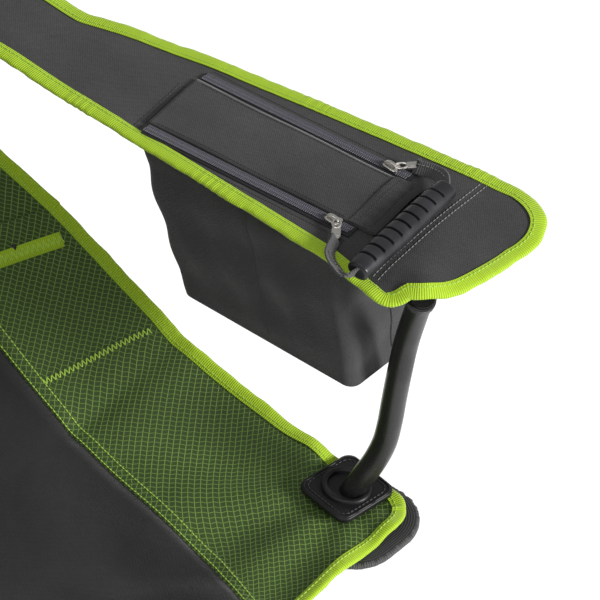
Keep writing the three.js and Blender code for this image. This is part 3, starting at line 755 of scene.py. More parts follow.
def sling(u, v):
    """Seat and back: u from -1 to 1 across, v from the front edge to the back's top edge.

    Depth and height ease from the middle line to the side edge by powers of the distance out. The
    front corners are rounded by the mapping that takes a square onto a disc."""
    u, v = np.broadcast_arrays(np.asarray(u, float), np.asarray(v, float))
    out = np.clip(1 - (1 - np.abs(u)) * SEAT_SIDE / SEAT_ROUND, 0, 1)
    ahead = np.clip(1 - v * SEAT_RUN / SEAT_ROUND, 0, 1)
    pull = np.abs(u) - (out - out * np.sqrt(1 - ahead**2 / 2)) * SEAT_ROUND / SEAT_SIDE
    v = v + (ahead - ahead * np.sqrt(1 - out**2 / 2)) * SEAT_ROUND / SEAT_RUN
    edge, middle = through(SIDE_EDGE, v), through(MIDDLE_LINE, v)
    x = np.sign(u) * pull * edge[..., 0]
    y = middle[..., 1] + (edge[..., 1] - middle[..., 1]) * pull**2
    z = middle[..., 2] + (edge[..., 2] - middle[..., 2]) * pull**2.2
    seat = 1 - smooth(v, JUNCTION - 0.06, JUNCTION)
    return np.stack([x, y - (1 - seat) * back_relief(x, z), z + seat * seat_relief(x, y)], axis=-1)


def sling_up(u, v):
    """Unit normal of the sling, on the sitter's side."""
    step = 2e-3
    du = sling(u + step * np.where(np.asarray(u) > 0.9, 0, 1), v) - sling(u - step, v)
    dv = sling(u, np.asarray(v) + step) - sling(u, np.asarray(v) - step * (np.asarray(v) > step))
    return unit(np.cross(du, dv))


def on_sling(u, v):
    """Points of the sling and its normals there."""
    return sling(u, v), sling_up(u, v)


def middle_at(v):
    return 0 * v


def edge_at(v):
    return 1 + 0 * v


def seam_at(v):
    """Share of the half width where the green side panel meets the charcoal middle."""
    return 0.49 + 0.95 * v - 0.62 * v**2


def sling_grid(low, high, v0, v1, across, along):
    """Grid of the sling between two lines low(v) and high(v), and its UVs in millimetres of cloth."""
    s, v = np.meshgrid(np.linspace(0, 1, across + 1), np.linspace(v0, v1, along + 1), indexing="ij")
    points = sling(low(v) + s * (high(v) - low(v)), v)
    du = np.linalg.norm(np.diff(points, axis=0), axis=2)
    dv = np.linalg.norm(np.diff(points, axis=1), axis=2).mean(axis=0)
    u_at = np.concatenate([np.zeros((1, along + 1)), np.cumsum(du, axis=0)])
    u_at = u_at - u_at[-1:]
    v_at = np.broadcast_to(np.concatenate([[0], np.cumsum(dv)]), u_at.shape)
    return points, np.stack([u_at, v_at], axis=-1)


# ---- Bindings and strips ----------------------------------------------------------------------
def add_binding(name, tail, path, up, seed, body, squash, side=1, share=1.0, closed=False):
    """Folded tape round a cloth edge, with gathers, and its row of stitches, as two pieces.

    The profile is a U round the edge; the seeded ripples push it out and lift it here and there."""
    chair = settings()
    width, cloth = MM * chair.binding_width * share, MM * chair.cloth_thickness
    middle, half, tape = -cloth / 2, cloth / 2 + 1.0, 0.75
    outer = [(-width, 0.92), (-0.72 * width, 1.0), (-0.4 * width, 1.06), (-1.0, 1.0), (0.7, 0.72), (1.3, 0)]
    inner = [(-width, half - tape), (-0.5 * width, half - tape), (-0.8, half - tape), (0.3, 0)]
    upper = [(a, middle + half * b) for a, b in outer]
    lower = [(a, middle - half * b) for a, b in outer[:-1]]
    inside_top = [(a, middle + b) for a, b in inner]
    inside_low = [(a, middle - b) for a, b in inner[:-1]]
    profile = np.array(lower + upper[::-1] + inside_top + inside_low[::-1])
    along = distances(np.concatenate([path, path[:1]]))[:-1] if closed else distances(path)
    gather = smooth(ripple(along, seed + 5, 170, 60, 4), 0.1, 0.9)
    push = 0.7 * ripple(along, seed, 70, 14)
    crimp = 0.42 * gather * np.sin(2 * math.pi * along / 6.3 + 2 * ripple(along, seed + 2, 50, 20, 4))
    lift = 0.35 * ripple(along, seed + 1, 40, 8) + crimp
    inward = np.clip(-profile[:, 0] / width, 0, 1)
    shape = np.repeat(profile[None], len(path), axis=0)
    shape[..., 0] += push[:, None] * (1 - 0.8 * inward)
    shape[..., 1] += lift[:, None] * (0.35 + 0.65 * (1 - inward)) * np.sign(profile[:, 1] - middle + 0.01)
    if closed:
        blend = smooth(np.arange(len(path)), 0, 12) * smooth(-np.arange(len(path)) + len(path), 0, 12)
        shape = profile + (shape - profile) * blend[:, None, None]
    rings = sweep(path, shape, up, closed)
    tape_work = Patchwork()
    if closed:
        tape_work.grid(rings, None, (True, True))
    else:
        tape_work.solid(rings)
    _, right, top = directions(path, up, closed)
    line = path - right * (width - 2.6) + top * (middle + half + 0.1)
    thread_work = stitches(Patchwork(), line, top, 3.6, 2.7, 0.75)
    add_piece(tape_work, name + tail, ("lime",), body, squash=squash, side=side, crease=50)
    add_piece(thread_work, f"{name}_thread{tail}", ("lime thread",), body, squash=squash,
              side=side)


def strip(work, path, up, width, height):
    """Flat strip of folded cloth along a path: a low rounded profile, width by height."""
    half = width / 2
    profile = np.array([(-half, -0.3), (half, -0.3), (half, 0.4 * height), (0.7 * half, height),
                        (-0.7 * half, height), (-half, 0.4 * height)])
    return work.solid(sweep(path, profile, up))


# ---- Shape of the arms ------------------------------------------------------------------------
def bezier(*points, count=40):
    """Bezier curve of any degree, by repeated blending of its points."""
    t = np.linspace(0, 1, count)[:, None]
    rows = [np.broadcast_to(np.asarray(p, float), (count, len(p))) for p in points]
    while len(rows) > 1:
        rows = [(1 - t) * a + t * b for a, b in zip(rows, rows[1:])]
    return rows[0]


def arm_outline():
    """Left arm from above, anticlockwise from its inner rear corner: straight inside, a slanted
    front with round corners, and a flare outside."""
    outer_rear, outer_front = CORNER + 57, CORNER + 121
    front, rear, flare = ARM_FRONT, CORNER + TUBE + 9, 0.04 * CORNER
    run = flare - front - 40
    parts = [
        bezier((ARM_INNER, rear), (ARM_INNER, front + 48), count=200),
        bezier((ARM_INNER, front + 48), (ARM_INNER, front + 34), (ARM_INNER + 14, front + 28), count=16),
        bezier((ARM_INNER + 14, front + 28), (ARM_INNER + 21, front + 11), (ARM_INNER + 45, front + 3),
               (outer_front - 46, front + 3), count=60),
        bezier((outer_front - 46, front + 3), (outer_front, front - 6), (outer_front, front + 40), count=50),
        bezier((outer_front, front + 40), (outer_front - 19, front + 40 + 0.325 * run),
               (outer_rear + 33, flare - 0.385 * run), (outer_rear, flare), count=160),
        bezier((outer_rear, flare), (outer_rear, rear), count=120),
    ]
    return np.concatenate([part[:-1] for part in parts] + [parts[-1][-1:]])


ARM_CLOTH_TOP = ARM_TOP - 0.4


def arm_height(flat):
    """Height of the arm's cloth: level, falling away ahead of the front seam, with soft waves."""
    x, y = np.abs(flat[..., 0]), flat[..., 1]
    fall = 11.5 * smooth(-y - 0.12 * (x - ARM_INNER), 288, 372) ** 1.2
    fall = fall + 5 * np.exp(-(((x - ARM_INNER) / 16) ** 2)) * smooth(-y, 262, 312)
    fall = fall - 6 * np.exp(-(((x - 281) / 15) ** 2 + ((y + 338) / 13) ** 2))
    waves = 1.1 * np.sin(y / 34 + 1.0) * np.sin(x / 19) + 0.6 * np.sin(y / 15 - x / 21)
    paddle = 1.4 * np.sin((x + 0.6 * y) / 12.5) * smooth(-y, 308, 330)
    return ARM_CLOTH_TOP - fall + waves * smooth(np.abs(y + 200) - 60, 0, 60) + paddle


def arm_up(flat):
    """Unit normal of the arm's cloth at plan points."""
    step = 1.5
    slopes = [(arm_height(flat + step * d) - arm_height(flat - step * d)) / (2 * step) for d in np.eye(2)]
    return unit(np.stack([-slopes[0], -slopes[1], np.ones(len(flat))], axis=1))


def arm_place(across, along):
    """A place on the arm in the lid's own directions: outward from the hinge's middle, and forward."""
    c, s = math.cos(LID_TURN), math.sin(LID_TURN)
    across, along = np.asarray(across, float), np.asarray(along, float)
    x = LID_HINGE[0] + c * across + s * along
    return np.stack([x, LID_HINGE[1] + s * across - c * along], axis=-1)


def arm_patches(quad, hole=None):
    """Cloth of the left arm as Coons patches round a four-sided middle, which is left open or filled
    up to a round hole. The quad's corners are rear inner, rear outer, front outer, front inner."""
    edge = arm_outline()
    whole = distances(edge)[-1]
    front_ends = [nearest(edge, (ARM_INNER + 4, ARM_FRONT + 33)),
                  nearest(edge, (CORNER + 108, ARM_FRONT + 8))]
    inner_stops = [0.0, *(nearest(edge, (ARM_INNER, quad[k][1])) for k in (0, 3)), front_ends[0]]
    outside = edge[300:][::-1]  # the outer edge, from the rear to the front's bend
    outer_x = [np.interp(-quad[k][1], -outside[:, 1], outside[:, 0]) for k in (1, 2)]
    outer_stops = [whole, *(nearest(edge, (x, quad[k][1])) for k, x in zip((1, 2), outer_x)), front_ends[1]]
    counts = [int(abs(b - a) / 3.2) + 2 for a, b in zip(inner_stops, inner_stops[1:])]
    inner = [resample(edge, n, a, b) for n, a, b in zip(counts, inner_stops, inner_stops[1:])]
    outer = [resample(edge, n, a, b) for n, a, b in zip(counts, outer_stops, outer_stops[1:])]
    stops = (0, 10, 30, 40)  # where the lines from the middle's front corners meet the front edge
    front = resample(edge, stops[-1] + 1, *front_ends)
    corners = [np.asarray(q, float) for q in quad]
    left_line = [bezier(edge[0] + (24, 0), corners[0], count=counts[0]),
                 bezier(corners[0], corners[3], count=counts[1]),
                 bezier(corners[3], front[stops[1]], count=counts[2])]
    right_line = [bezier(edge[-1] - (22, 0), corners[1], count=counts[0]),
                  bezier(corners[1], corners[2], count=counts[1]),
                  bezier(corners[2], front[stops[2]], count=counts[2])]
    work = Patchwork()

    def lay(flat):
        work.grid(deepen(flat, arm_height(flat)), flat)

    for k in range(3):
        lines = [inner[k], left_line[k], right_line[k], outer[k]]
        for j, (left, right) in enumerate(zip(lines, lines[1:])):
            if k == 1 and j == 1:
                continue
            size = stops[j + 1] - stops[j] + 1
            low = bezier(left[0], right[0], count=size)
            high = bezier(left[-1], right[-1], count=size)
            if k == 2:
                high = front[stops[j]:stops[j + 1] + 1]
            lay(coons(low, high, left, right))
    if hole is not None:
        centre, radius = hole
        sides = [bezier(corners[a], corners[b], count=counts[1] if a in (1, 3) else 21)
                 for a, b in ((0, 1), (1, 2), (2, 3), (3, 0))]
        for side in sides:
            turn = np.unwrap(np.arctan2(*(side[[0, -1]] - centre).T[::-1]))
            a = np.linspace(turn[0], turn[1], len(side))
            arc = centre + radius * np.stack([np.cos(a), np.sin(a)], axis=1)
            lay(coons(side, arc, bezier(side[0], arc[0], count=8), bezier(side[-1], arc[-1], count=8)))
    return work


# ---- Moulded and turned shapes ----------------------------------------------------------------
def lathe(profile, centre=(0, 0, 0), axis=(0, 0, 1), sides=32):
    """Rings of (radius, height) pairs turned round an axis; a profile that climbs faces outwards."""
    axis = unit(np.asarray(axis, float))
    across = unit(np.cross(axis, (0.31, 0.87, 0.13)))
    ring = circle(1, sides)
    out = ring[:, :1] * across + ring[:, 1:] * np.cross(across, axis)
    profile = np.asarray(profile, float)
    return np.asarray(centre, float) + profile[:, None, 1:] * axis + profile[:, None, :1] * out[None]


def softened(corners, radius, steps=3):
    """A polyline with its inner corners rounded by short quadratic curves."""
    corners = np.asarray(corners, float)
    points = [corners[:1]]
    for a, b, c in zip(corners, corners[1:], corners[2:]):
        back = min(radius, np.linalg.norm(a - b) / 2)
        ahead = min(radius, np.linalg.norm(c - b) / 2)
        points.append(bezier(b + unit(a - b) * back, b, b + unit(c - b) * ahead, count=steps + 1))
    return np.concatenate(points + [corners[-1:]])


def slab(outline, origin, right, up, low, high, rim=0.8):
    """Rings of a flat anticlockwise outline in the plane of right and up, thickened from low to high
    along right x up, with its rims rounded."""
    right, up = np.asarray(right, float), np.asarray(up, float)
    middle = outline.mean(axis=0)
    size = np.linalg.norm(outline - middle, axis=1).mean()
    levels = [(high, rim), (high - 0.3 * rim, 0.3 * rim), (high - rim, 0), (low + rim, 0),
              (low + 0.3 * rim, 0.3 * rim), (low, rim)]
    rings = []
    for level, inset in levels:
        flat = middle + (outline - middle) * (1 - inset / size)
        rings.append(laid(flat, level * np.cross(right, up), right, up))
    return np.asarray(origin, float) + np.stack(rings)


def corner_frame(k):
    """Origin of corner k, front left, rear left, rear right, front right, and the directions towards
    the next corner and inwards across that side."""
    signs = ((1, -1), (1, 1), (-1, 1), (-1, -1))[k]
    a = (k + 1) * math.pi / 2
    ahead = np.array([round(math.cos(a)), round(math.sin(a)), 0.0])
    inward = np.array([-ahead[1], ahead[0], 0.0])
    return np.array([signs[0] * CORNER, signs[1] * CORNER, 0.0]), ahead, inward


UP = np.array([0.0, 0.0, 1.0])
SIDES = (("left", 1), ("right", -1))
FIRST_CORNER = ("left", "rear", "right", "front")


def add_lug(work, origin, ahead, inward, face, height):
    """A lug from a boss out to a leg's pivot: a rounded plate, the pin through it and its head."""
    reach, radius, thickness, pin = PIVOT_INSET, 11.0, 12.0, 3.0
    a = np.linspace(-math.pi / 2, math.pi / 2, 13)
    nose = np.array([reach, 0.0]) + radius * np.stack([np.cos(a), np.sin(a)], axis=1)
    outline = np.concatenate([[[0, -radius]], nose, [[0, radius]]])
    low, high = (1.2, 1.2 + thickness) if face > 0 else (-1.2 - thickness, -1.2)
    middle = np.asarray(origin, float) + UP * height
    if np.cross(ahead, UP) @ inward < 0:
        low, high = -high, -low
    work.solid(slab(outline, middle, ahead, UP, low, high, 1.4))
    out = -inward * np.sign(face)
    start = middle + ahead * reach
    profile = [(pin, -0.4), (pin, 18.9), (5.5, 18.9), (5.5, 20.1), (4.6, 20.8), (2.6, 21.2), (2.4, 20.6)]
    work.solid(lathe(softened(profile, 0.3, 2), start, out, 20), mark=1)
    tail = [(5.2, 0), (5.2, 1.4), (4.2, 2.0), (2.4, 2.3)]
    work.solid(lathe(tail, start + inward * np.sign(face) * (1.2 + thickness), -out, 20), mark=1)


def build_fittings():
    """Feet and hubs: each a boss with two lugs, riveted to the ends of the two legs beside it."""
    names = ("front_left", "rear_left", "rear_right", "front_right")
    foot = [(15, 0), (21, 0), (23, 2), (23, 7), (19.5, 9.2), (14.5, 16), (14.5, 54), (10.5, 58)]
    hub = [(10.2, HUB_TOP - 38), (14.5, HUB_TOP - 38), (14.5, HUB_TOP - 7), (12.6, HUB_TOP - 5.5),
           (12.6, HUB_TOP - 1.5), (10.4, HUB_TOP)]
    for k, name in enumerate(names):
        origin, ahead, inward = corner_frame(k)
        _, before, inward_before = corner_frame((k + 3) % 4)
        for kind, profile, height in (("foot", foot, FOOT_PIVOT), ("hub", hub, HUB_PIVOT)):
            work = Patchwork().solid(lathe(softened(profile, 1.2), origin, UP, 40))
            upper = kind == "hub"
            add_lug(work, origin, ahead, inward, -1 if upper else 1, height)
            add_lug(work, origin, -before, inward_before, 1 if upper else -1, height)
            for rib in range(0 if upper else 3):
                work.solid(lathe([(22.4 - rib, 1.4 + rib), (23.3 - rib, 2.2 + rib),
                                  (22.4 - rib, 3.0 + rib)], origin, UP, 40))
            add_piece(work, f"{kind}_{name}_moulding", ("plastic", "rivet"), f"{kind}_{name}",
                      [f"{kind}_{name}"], crease=35)


def rivet_rings(centre, axis, reach):
    """Both domed heads and the shank of a rivet through two tubes."""
    profile = [(1.6, -reach - 2.1), (3.6, -reach - 1.6), (5.0, -reach), (3.0, -reach), (3.0, reach),
               (5.0, reach), (3.6, reach + 1.6), (1.6, reach + 2.1)]
    return lathe(softened(profile, 0.4, 2), centre, axis, 20)


def build_legs():
    """Eight crossed tubes with capped ends, and the rivets where they cross."""
    span = 2 * CORNER - PIVOT_INSET
    for k, side in enumerate(FIRST_CORNER):
        origin, ahead, inward = corner_frame(k)
        for kind, offset, low, high in (("outer", -LEG_OFFSET, PIVOT_INSET, span),
                                        ("inner", LEG_OFFSET, span, PIVOT_INSET)):
            ends = [origin + ahead * x + inward * offset + UP * z
                    for x, z in ((low, FOOT_PIVOT), (high, HUB_PIVOT))]
            way = unit(ends[1] - ends[0])
            length = np.linalg.norm(ends[1] - ends[0]) + 2 * LEG_OVERHANG
            start = ends[0] - way * LEG_OVERHANG
            plug = [(5.4, 0), (7.2, 0.5), (TUBE - 0.1, 1.8), (TUBE + 0.35, 2.2), (TUBE + 0.35, 9),
                    (TUBE, 9.4)]
            steel = [(TUBE, 9.2), (TUBE, length - 9.2)]
            work = Patchwork().solid(lathe(steel, start, way, 28), mark=0)
            work.solid(lathe(plug, start, way, 28), mark=1)
            work.solid(lathe(plug, start + way * length, -way, 28), mark=1)
            add_piece(work, f"tube_{side}_{kind}", ("steel", "plastic"), f"leg_{side}_{kind}",
                      [f"leg_{side}_{kind}"], crease=35)
        crossing = origin + ahead * CORNER + UP * (FOOT_PIVOT + HUB_PIVOT) / 2
        rivet = Patchwork().solid(rivet_rings(crossing, inward, 18.6))
        spacer = [(6.2, -1.4), (6.2, 1.4)]
        rivet.solid(lathe(spacer, crossing, inward, 20))
        body = f"leg_{side}_inner" if side in ("front", "right") else f"leg_{side}_outer"
        add_piece(rivet, f"crossing_{side}", ("rivet",), body, [f"cross_rivet_{side}"],
                  crease=35)


# Outward, ahead and up: the arm post's bends from the front hub to the arm.
ARM_POST = [
    (0, 0, 378), (0, 0, 396), (0.3, 5, 415), (3.4, 12, 434), (8.4, 17.6, 448), (14.6, 23, 463),
    (18.6, 27.6, 480), (20, 31, 500), (20.3, 34, 522), (20.4, 38, 548), (20.4, 44, 582),
    (19, 53, 615), (16, 61, 638),
]


def post_path(count=140):
    """Middle line of the left arm post."""
    points = [(CORNER + out, -CORNER - ahead, z) for out, ahead, z in ARM_POST]
    return resample(through(points, np.linspace(0, 1, 400)), count)


def back_path(count=160):
    """Middle line of the left back post, and the way that its top end points."""
    top = (CORNER, CORNER + (BACK_TOP - BACK_BEND) * math.tan(BACK_TILT), BACK_TOP)
    bend = np.array([CORNER, CORNER, BACK_BEND])
    tilt = np.array([0, math.sin(BACK_TILT), math.cos(BACK_TILT)])
    curve = bezier(bend - UP * 45, bend, bend + tilt * 45, count=40)
    path = np.concatenate([[(CORNER, CORNER, 13)], curve, [top]])
    return resample(path, count), unit(np.asarray(top) - bend)


def build_posts():
    """Bent posts that carry the arms and the back, and the end caps of the back ones."""
    for name, side in SIDES:
        bent = sweep(post_path(), circle(TUBE), (0, 1, 0.02))
        add_piece(Patchwork().solid(bent), f"arm_tube_{name}", ("steel",), f"hub_front_{name}",
                  [f"arm_post_{name}"], side=side)
        path, way = back_path()
        add_piece(Patchwork().solid(sweep(path, circle(TUBE), (0, -1, 0.02))), f"back_tube_{name}",
                  ("steel",), f"foot_rear_{name}", [f"back_post_{name}"], side=side)
        cap = [(TUBE + 0.2, -14), (TUBE + 1.6, -13.4), (TUBE + 1.6, -1), (TUBE, 2.6), (4, 4.2)]
        add_piece(Patchwork().solid(lathe(softened(cap, 1.0), path[-1], way, 32)), f"back_end_{name}",
                  ("plastic",), f"foot_rear_{name}", [f"back_cap_{name}"], side=side)


# ---- Seat and back ----------------------------------------------------------------------------
def zigzag(path, ups, pitch, swing):
    """Rings of a thread that zigzags along a path."""
    dense, ups = evenly(path, ups, pitch / 2)
    _, side, top = directions(dense, ups)
    turn = np.where(np.arange(len(dense)) % 2, swing / 2, -swing / 2)[:, None]
    line, tops = evenly(dense + side * turn + top * 0.5, top, pitch / 6)
    return sweep(line, circle(0.45, 6), tops)


def seam_path(v0, v1, shift=0.0):
    """Points and normals along the seam, moved outwards by a shift in millimetres."""
    v = np.linspace(v0, v1, 300)
    u = seam_at(v) + shift / SEAT_SIDE
    return on_sling(u, v)


def add_panel(work, name, body, looks, squash, stands_for, side=1):
    thick = MM * settings().cloth_thickness
    piece = add_piece(work, name, looks, body, stands_for, squash, side, thick, 60)


def build_seat():
    """The seat's two halves: a charcoal middle, a green side panel, their felled seam with its lime
    topstitching, a lime zigzag across the green and a lime band before the back."""
    cross_seam, band_seam = 0.307, JUNCTION - 0.033
    for name, side in SIDES:
        body, rests = f"seat_{name}", (f"hub_front_{name}", f"hub_rear_{name}")
        middle = Patchwork().grid(*sling_grid(middle_at, seam_at, 0, JUNCTION, 28, 120))
        add_panel(middle, f"seat_middle_{name}", body, ("painted shade seat cloth",),
                  SEAT_SQUASH, [f"seat_{name}"], side)
        outer = Patchwork().grid(*sling_grid(seam_at, edge_at, 0, JUNCTION, 36, 150))
        add_panel(outer, f"seat_side_{name}", body, ("ripstop",),
                  SEAT_SQUASH, (), side)
        felled, threads = Patchwork(), Patchwork()
        path, ups = evenly(*seam_path(0.012, JUNCTION - 0.002, 4.6), 3.0)
        strip(felled, path, ups, 9.6, 1.2)
        for shift in (1.4, 7.8):
            stitches(threads, *seam_path(0.015, JUNCTION - 0.004, shift), 3.4, 2.7, 0.9, rise=1.1)
        u = np.linspace(0.73, 0.965, 60)
        threads.solid(zigzag(*on_sling(u, cross_seam + 0 * u), 3.4, 4.4))
        add_piece(felled, f"seat_seam_{name}", ("ripstop",), body, squash=SEAT_SQUASH,
                  side=side)
        u = np.linspace(0.0, 0.968, 120)
        path, ups = evenly(*on_sling(u, band_seam + 0 * u), 3.0)
        band = strip(Patchwork(), path, ups, 11.0, 1.3)
        threads.solid(zigzag(path, ups, 4.2, 6.0) + (0, -0.7, 0.9))
        add_piece(band, f"junction_band_{name}", ("lime",), body, squash=SEAT_SQUASH,
                  side=side)
        add_piece(threads, f"seat_stitching_{name}", ("lime thread",), body,
                  squash=SEAT_SQUASH, side=side)
        front, rear = np.linspace(0, 1, 300), np.linspace(0, JUNCTION, 700)[1:]
        u, v = np.concatenate([front, 1 + 0 * rear]), np.concatenate([0 * front, rear])
        path, ups = evenly(*on_sling(u, v), 1.5)
        add_binding("seat_binding", f"_{name}", path, ups, 11 + side, body, SEAT_SQUASH, side, 0.85)


def build_back():
    """The back: a charcoal middle and green sides, bound up both sides and along the top, and the
    cloth sleeves round its posts."""
    body, rests = "foot_rear_left", ("back_tube_left", "back_tube_right")
    middle = Patchwork().grid(*sling_grid(lambda v: -seam_at(v), seam_at, JUNCTION, 1, 60, 150))
    add_panel(middle, "back_middle", body, ("painted shade seat cloth",), BACK_SQUASH,
              ["back_panel"])
    for name, side in SIDES:
        panel = Patchwork().grid(*sling_grid(seam_at, edge_at, JUNCTION, 1, 24, 150))
        add_panel(panel, f"back_side_{name}", body, ("ripstop",),
                  BACK_SQUASH, (), side)
        felled, threads = Patchwork(), Patchwork()
        path, ups = evenly(*seam_path(JUNCTION + 0.005, 0.985), 4.0)
        strip(felled, path, ups, 8.0, 1.1)
        for shift in (-2.4, 2.4):
            stitches(threads, *seam_path(JUNCTION + 0.008, 0.985, shift), 3.4, 2.6, 0.8, rise=1.1)
        add_piece(felled, f"back_seam_{name}", ("charcoal",), body,
                  squash=BACK_SQUASH, side=side)
        add_piece(threads, f"back_stitching_{name}", ("lime thread",), body,
                  squash=BACK_SQUASH, side=side)
        post, _ = back_path(300)
        cloth = post[post[:, 2] > BACK_BEND + 14][:-8]
        wrap = circle(TUBE + 2.0, 26) * (1.0, 1.08)
        sleeve = Patchwork().solid(sweep(cloth, wrap, (0, -1, 0.02)))
        add_piece(sleeve, f"back_sleeve_{name}", ("charcoal",), f"foot_rear_{name}",
                  side=side)
    rise, top = np.linspace(JUNCTION, 1, 700), np.linspace(1, -1, 500)[1:-1]
    u = np.concatenate([1 + 0 * rise, top, -1 + 0 * rise])
    v = np.concatenate([rise, 1 + 0 * top, rise[::-1]])
    path, ups = evenly(*on_sling(u, v), 1.6)
    add_binding("back_binding", "", path, ups, 31, body, BACK_SQUASH, share=0.85)


# ---- Arms, lid, bag and cup -------------------------------------------------------------------
def arm_line(flat_path, rise=0.0):
    """A plan path laid on the arm's cloth."""
    flat_path = np.asarray(flat_path, float)
    return deepen(flat_path, arm_height(flat_path) + rise)


def arm_threads(work, start, end, pitch=3.4, thick=0.8, bow=0.0):
    """A row of stitches from one plan point to another on the arm."""
    start, end = np.asarray(start, float), np.asarray(end, float)
    line = arm_line(bezier(start, (start + end) / 2 + (bow, -bow), end, count=60))
    return stitches(work, line, UP, pitch, 0.76 * pitch, thick)


def mouth_quad():
    """Corners of the cooler's mouth in the left arm."""
    return [arm_place(a, t) for a, t in ((-24, 8), (24, 8), (24, 161), (-24, 161))]


def cup_quad():
    """Corners of the cloth round the cup, before it is mirrored onto the right arm."""
    x, y = -CUP_CENTRE[0], CUP_CENTRE[1]
    return [(x - 42, y + 56), (x - 2, y + 62), (x + 52, y - 48), (x - 46, y - 56)]


def build_arms():
    """Both arms: charcoal cloth open under the lid or round the cup, bound all round in lime."""
    edge = arm_outline()[:-1]
    for name, side in SIDES:
        body = f"arm_{name}"
        if side == 1:
            work = arm_patches(mouth_quad())
        else:
            work = arm_patches(cup_quad(), (CUP_CENTRE * (-1, 1), CUP_RADIUS))
        piece = add_piece(work, f"arm_cloth_{name}", ("charcoal",), body, [body],
                          ARM_SQUASH, side, 2.4, 60)
        path = around(edge, int(distances(np.concatenate([edge, edge[:1]]))[-1] / 1.5) - 1)
        add_binding("arm_binding", f"_{name}", arm_line(path, 0.35), arm_up(path), 51 + side, body,
                    ARM_SQUASH, side, closed=True)
        grey = Patchwork()
        for gap in (0, 4.2):
            arm_threads(grey, (ARM_INNER + 11, -CORNER - 36 - gap), (CORNER + 112, -CORNER - 32 - gap),
                        bow=1.5)
        dark = Patchwork()
        if side == 1:
            for along in (-3, -7):
                arm_threads(dark, arm_place(-33, along), arm_place(19, along))
            for across in (-ZIP_AT - 9, ZIP_AT + 9):
                arm_threads(dark, arm_place(across * 0.97, 4), arm_place(across, 174), 2.8, 0.65)
        for y in (CORNER - 18, CORNER - 23):
            arm_threads(dark, (ARM_INNER + 13, y), (CORNER + 44, y))
        add_piece(grey, f"arm_front_seam_{name}", ("grey thread",), body,
                  squash=ARM_SQUASH, side=side)
        add_piece(dark, f"arm_stitching_{name}", ("dark thread",), body,
                  squash=ARM_SQUASH, side=side)
        path = post_path(300)
        sleeve = path[path[:, 2] > 631][:-3]
        wrap = rounded_box(2 * TUBE + 3, 2 * TUBE + 3, TUBE + 1)
        add_piece(Patchwork().solid(sweep(sleeve, wrap, (0, 1, 0.02))), f"arm_webbing_{name}",
                  ("webbing",), f"hub_front_{name}", [f"arm_sleeve_{name}"], side=side)


def on_lid(across, along):
    """Points on the lid, whose cloth is crowned a little across and along."""
    across, along = np.broadcast_arrays(np.asarray(across, float), np.asarray(along, float))
    crown = 1.2 * (1 - (across / LID_HALF) ** 2) * smooth(along, 0, 60)
    waves = 0.35 * np.sin(along / 15 + across / 19) + 0.5 * np.sin(across / 8) * smooth(along, 120, 170)
    flat = arm_place(across, along)
    return deepen(flat, ARM_TOP + 1.7 + crown + waves)


def build_lid():
    """The cooler's lid: charcoal cloth hinged at the rear, a cross seam and a doubled front flap."""
    sides, lengths = np.linspace(-LID_HALF, LID_HALF, 28), np.linspace(0, LID_LENGTH, 96)
    across, along = np.meshgrid(sides, lengths, indexing="ij")
    cut = np.stack([across, -along], axis=-1)
    work = Patchwork().grid(on_lid(across, along)[:, ::-1], cut[:, ::-1])
    piece = add_piece(work, "lid_cloth", ("charcoal",), "lid", ["cooler_lid"],
                      ARM_SQUASH, thick=1.5, crease=60)
    flap, lines = Patchwork(), Patchwork()
    profile = np.array([(-11, 0), (11, 0), (11.4, 0.7), (9.5, 1.6), (0, 2.0), (-9.5, 1.5), (-11.2, 0.5)])
    s = np.linspace(LID_HALF - 0.4, -LID_HALF + 0.4, 50)
    flap.solid(sweep(on_lid(s, LID_LENGTH - 10 + 0 * s), profile))
    for back, rise in ((21.6, 0.0), (15, 1.7), (5, 1.6)):
        stitches(lines, on_lid(s[2:-2], LID_LENGTH - back + 0 * s[2:-2]), UP, 3.0, 2.3, 0.75, rise=rise)
    for x in (-LID_HALF + 2.6, LID_HALF - 2.6):
        t = np.linspace(6, LID_LENGTH - 24, 90)
        stitches(lines, on_lid(x + 0 * t, t), UP, 3.0, 2.3, 0.75)
    add_piece(flap, "lid_flap", ("charcoal",), "lid", squash=ARM_SQUASH)
    add_piece(lines, "lid_stitching", ("dark thread",), "lid", squash=ARM_SQUASH)


def arm_way(across, along):
    """Level unit vector on the arm, in the lid's own directions."""
    return unit(deepen(arm_place(across, along) - arm_place(0, 0), 0.0))


def pull_way(sign):
    """Where a zip pull starts, at its slider's nose, and the way it is turned."""
    ahead, out = arm_way(0, 1), arm_way(1, 0)
    swing = 0.75 if sign > 0 else 0.98
    start = deepen(arm_place(sign * ZIP_AT, SLIDER_AT), ARM_TOP + 5.0) + ahead * 3.0
    return start, ahead * math.cos(swing) + out * sign * math.sin(swing)


def pull_end(sign):
    """Where the webbing loop is sewn to a pull."""
    start, way = pull_way(sign)
    return start + way * 17.5 - UP * 0.6


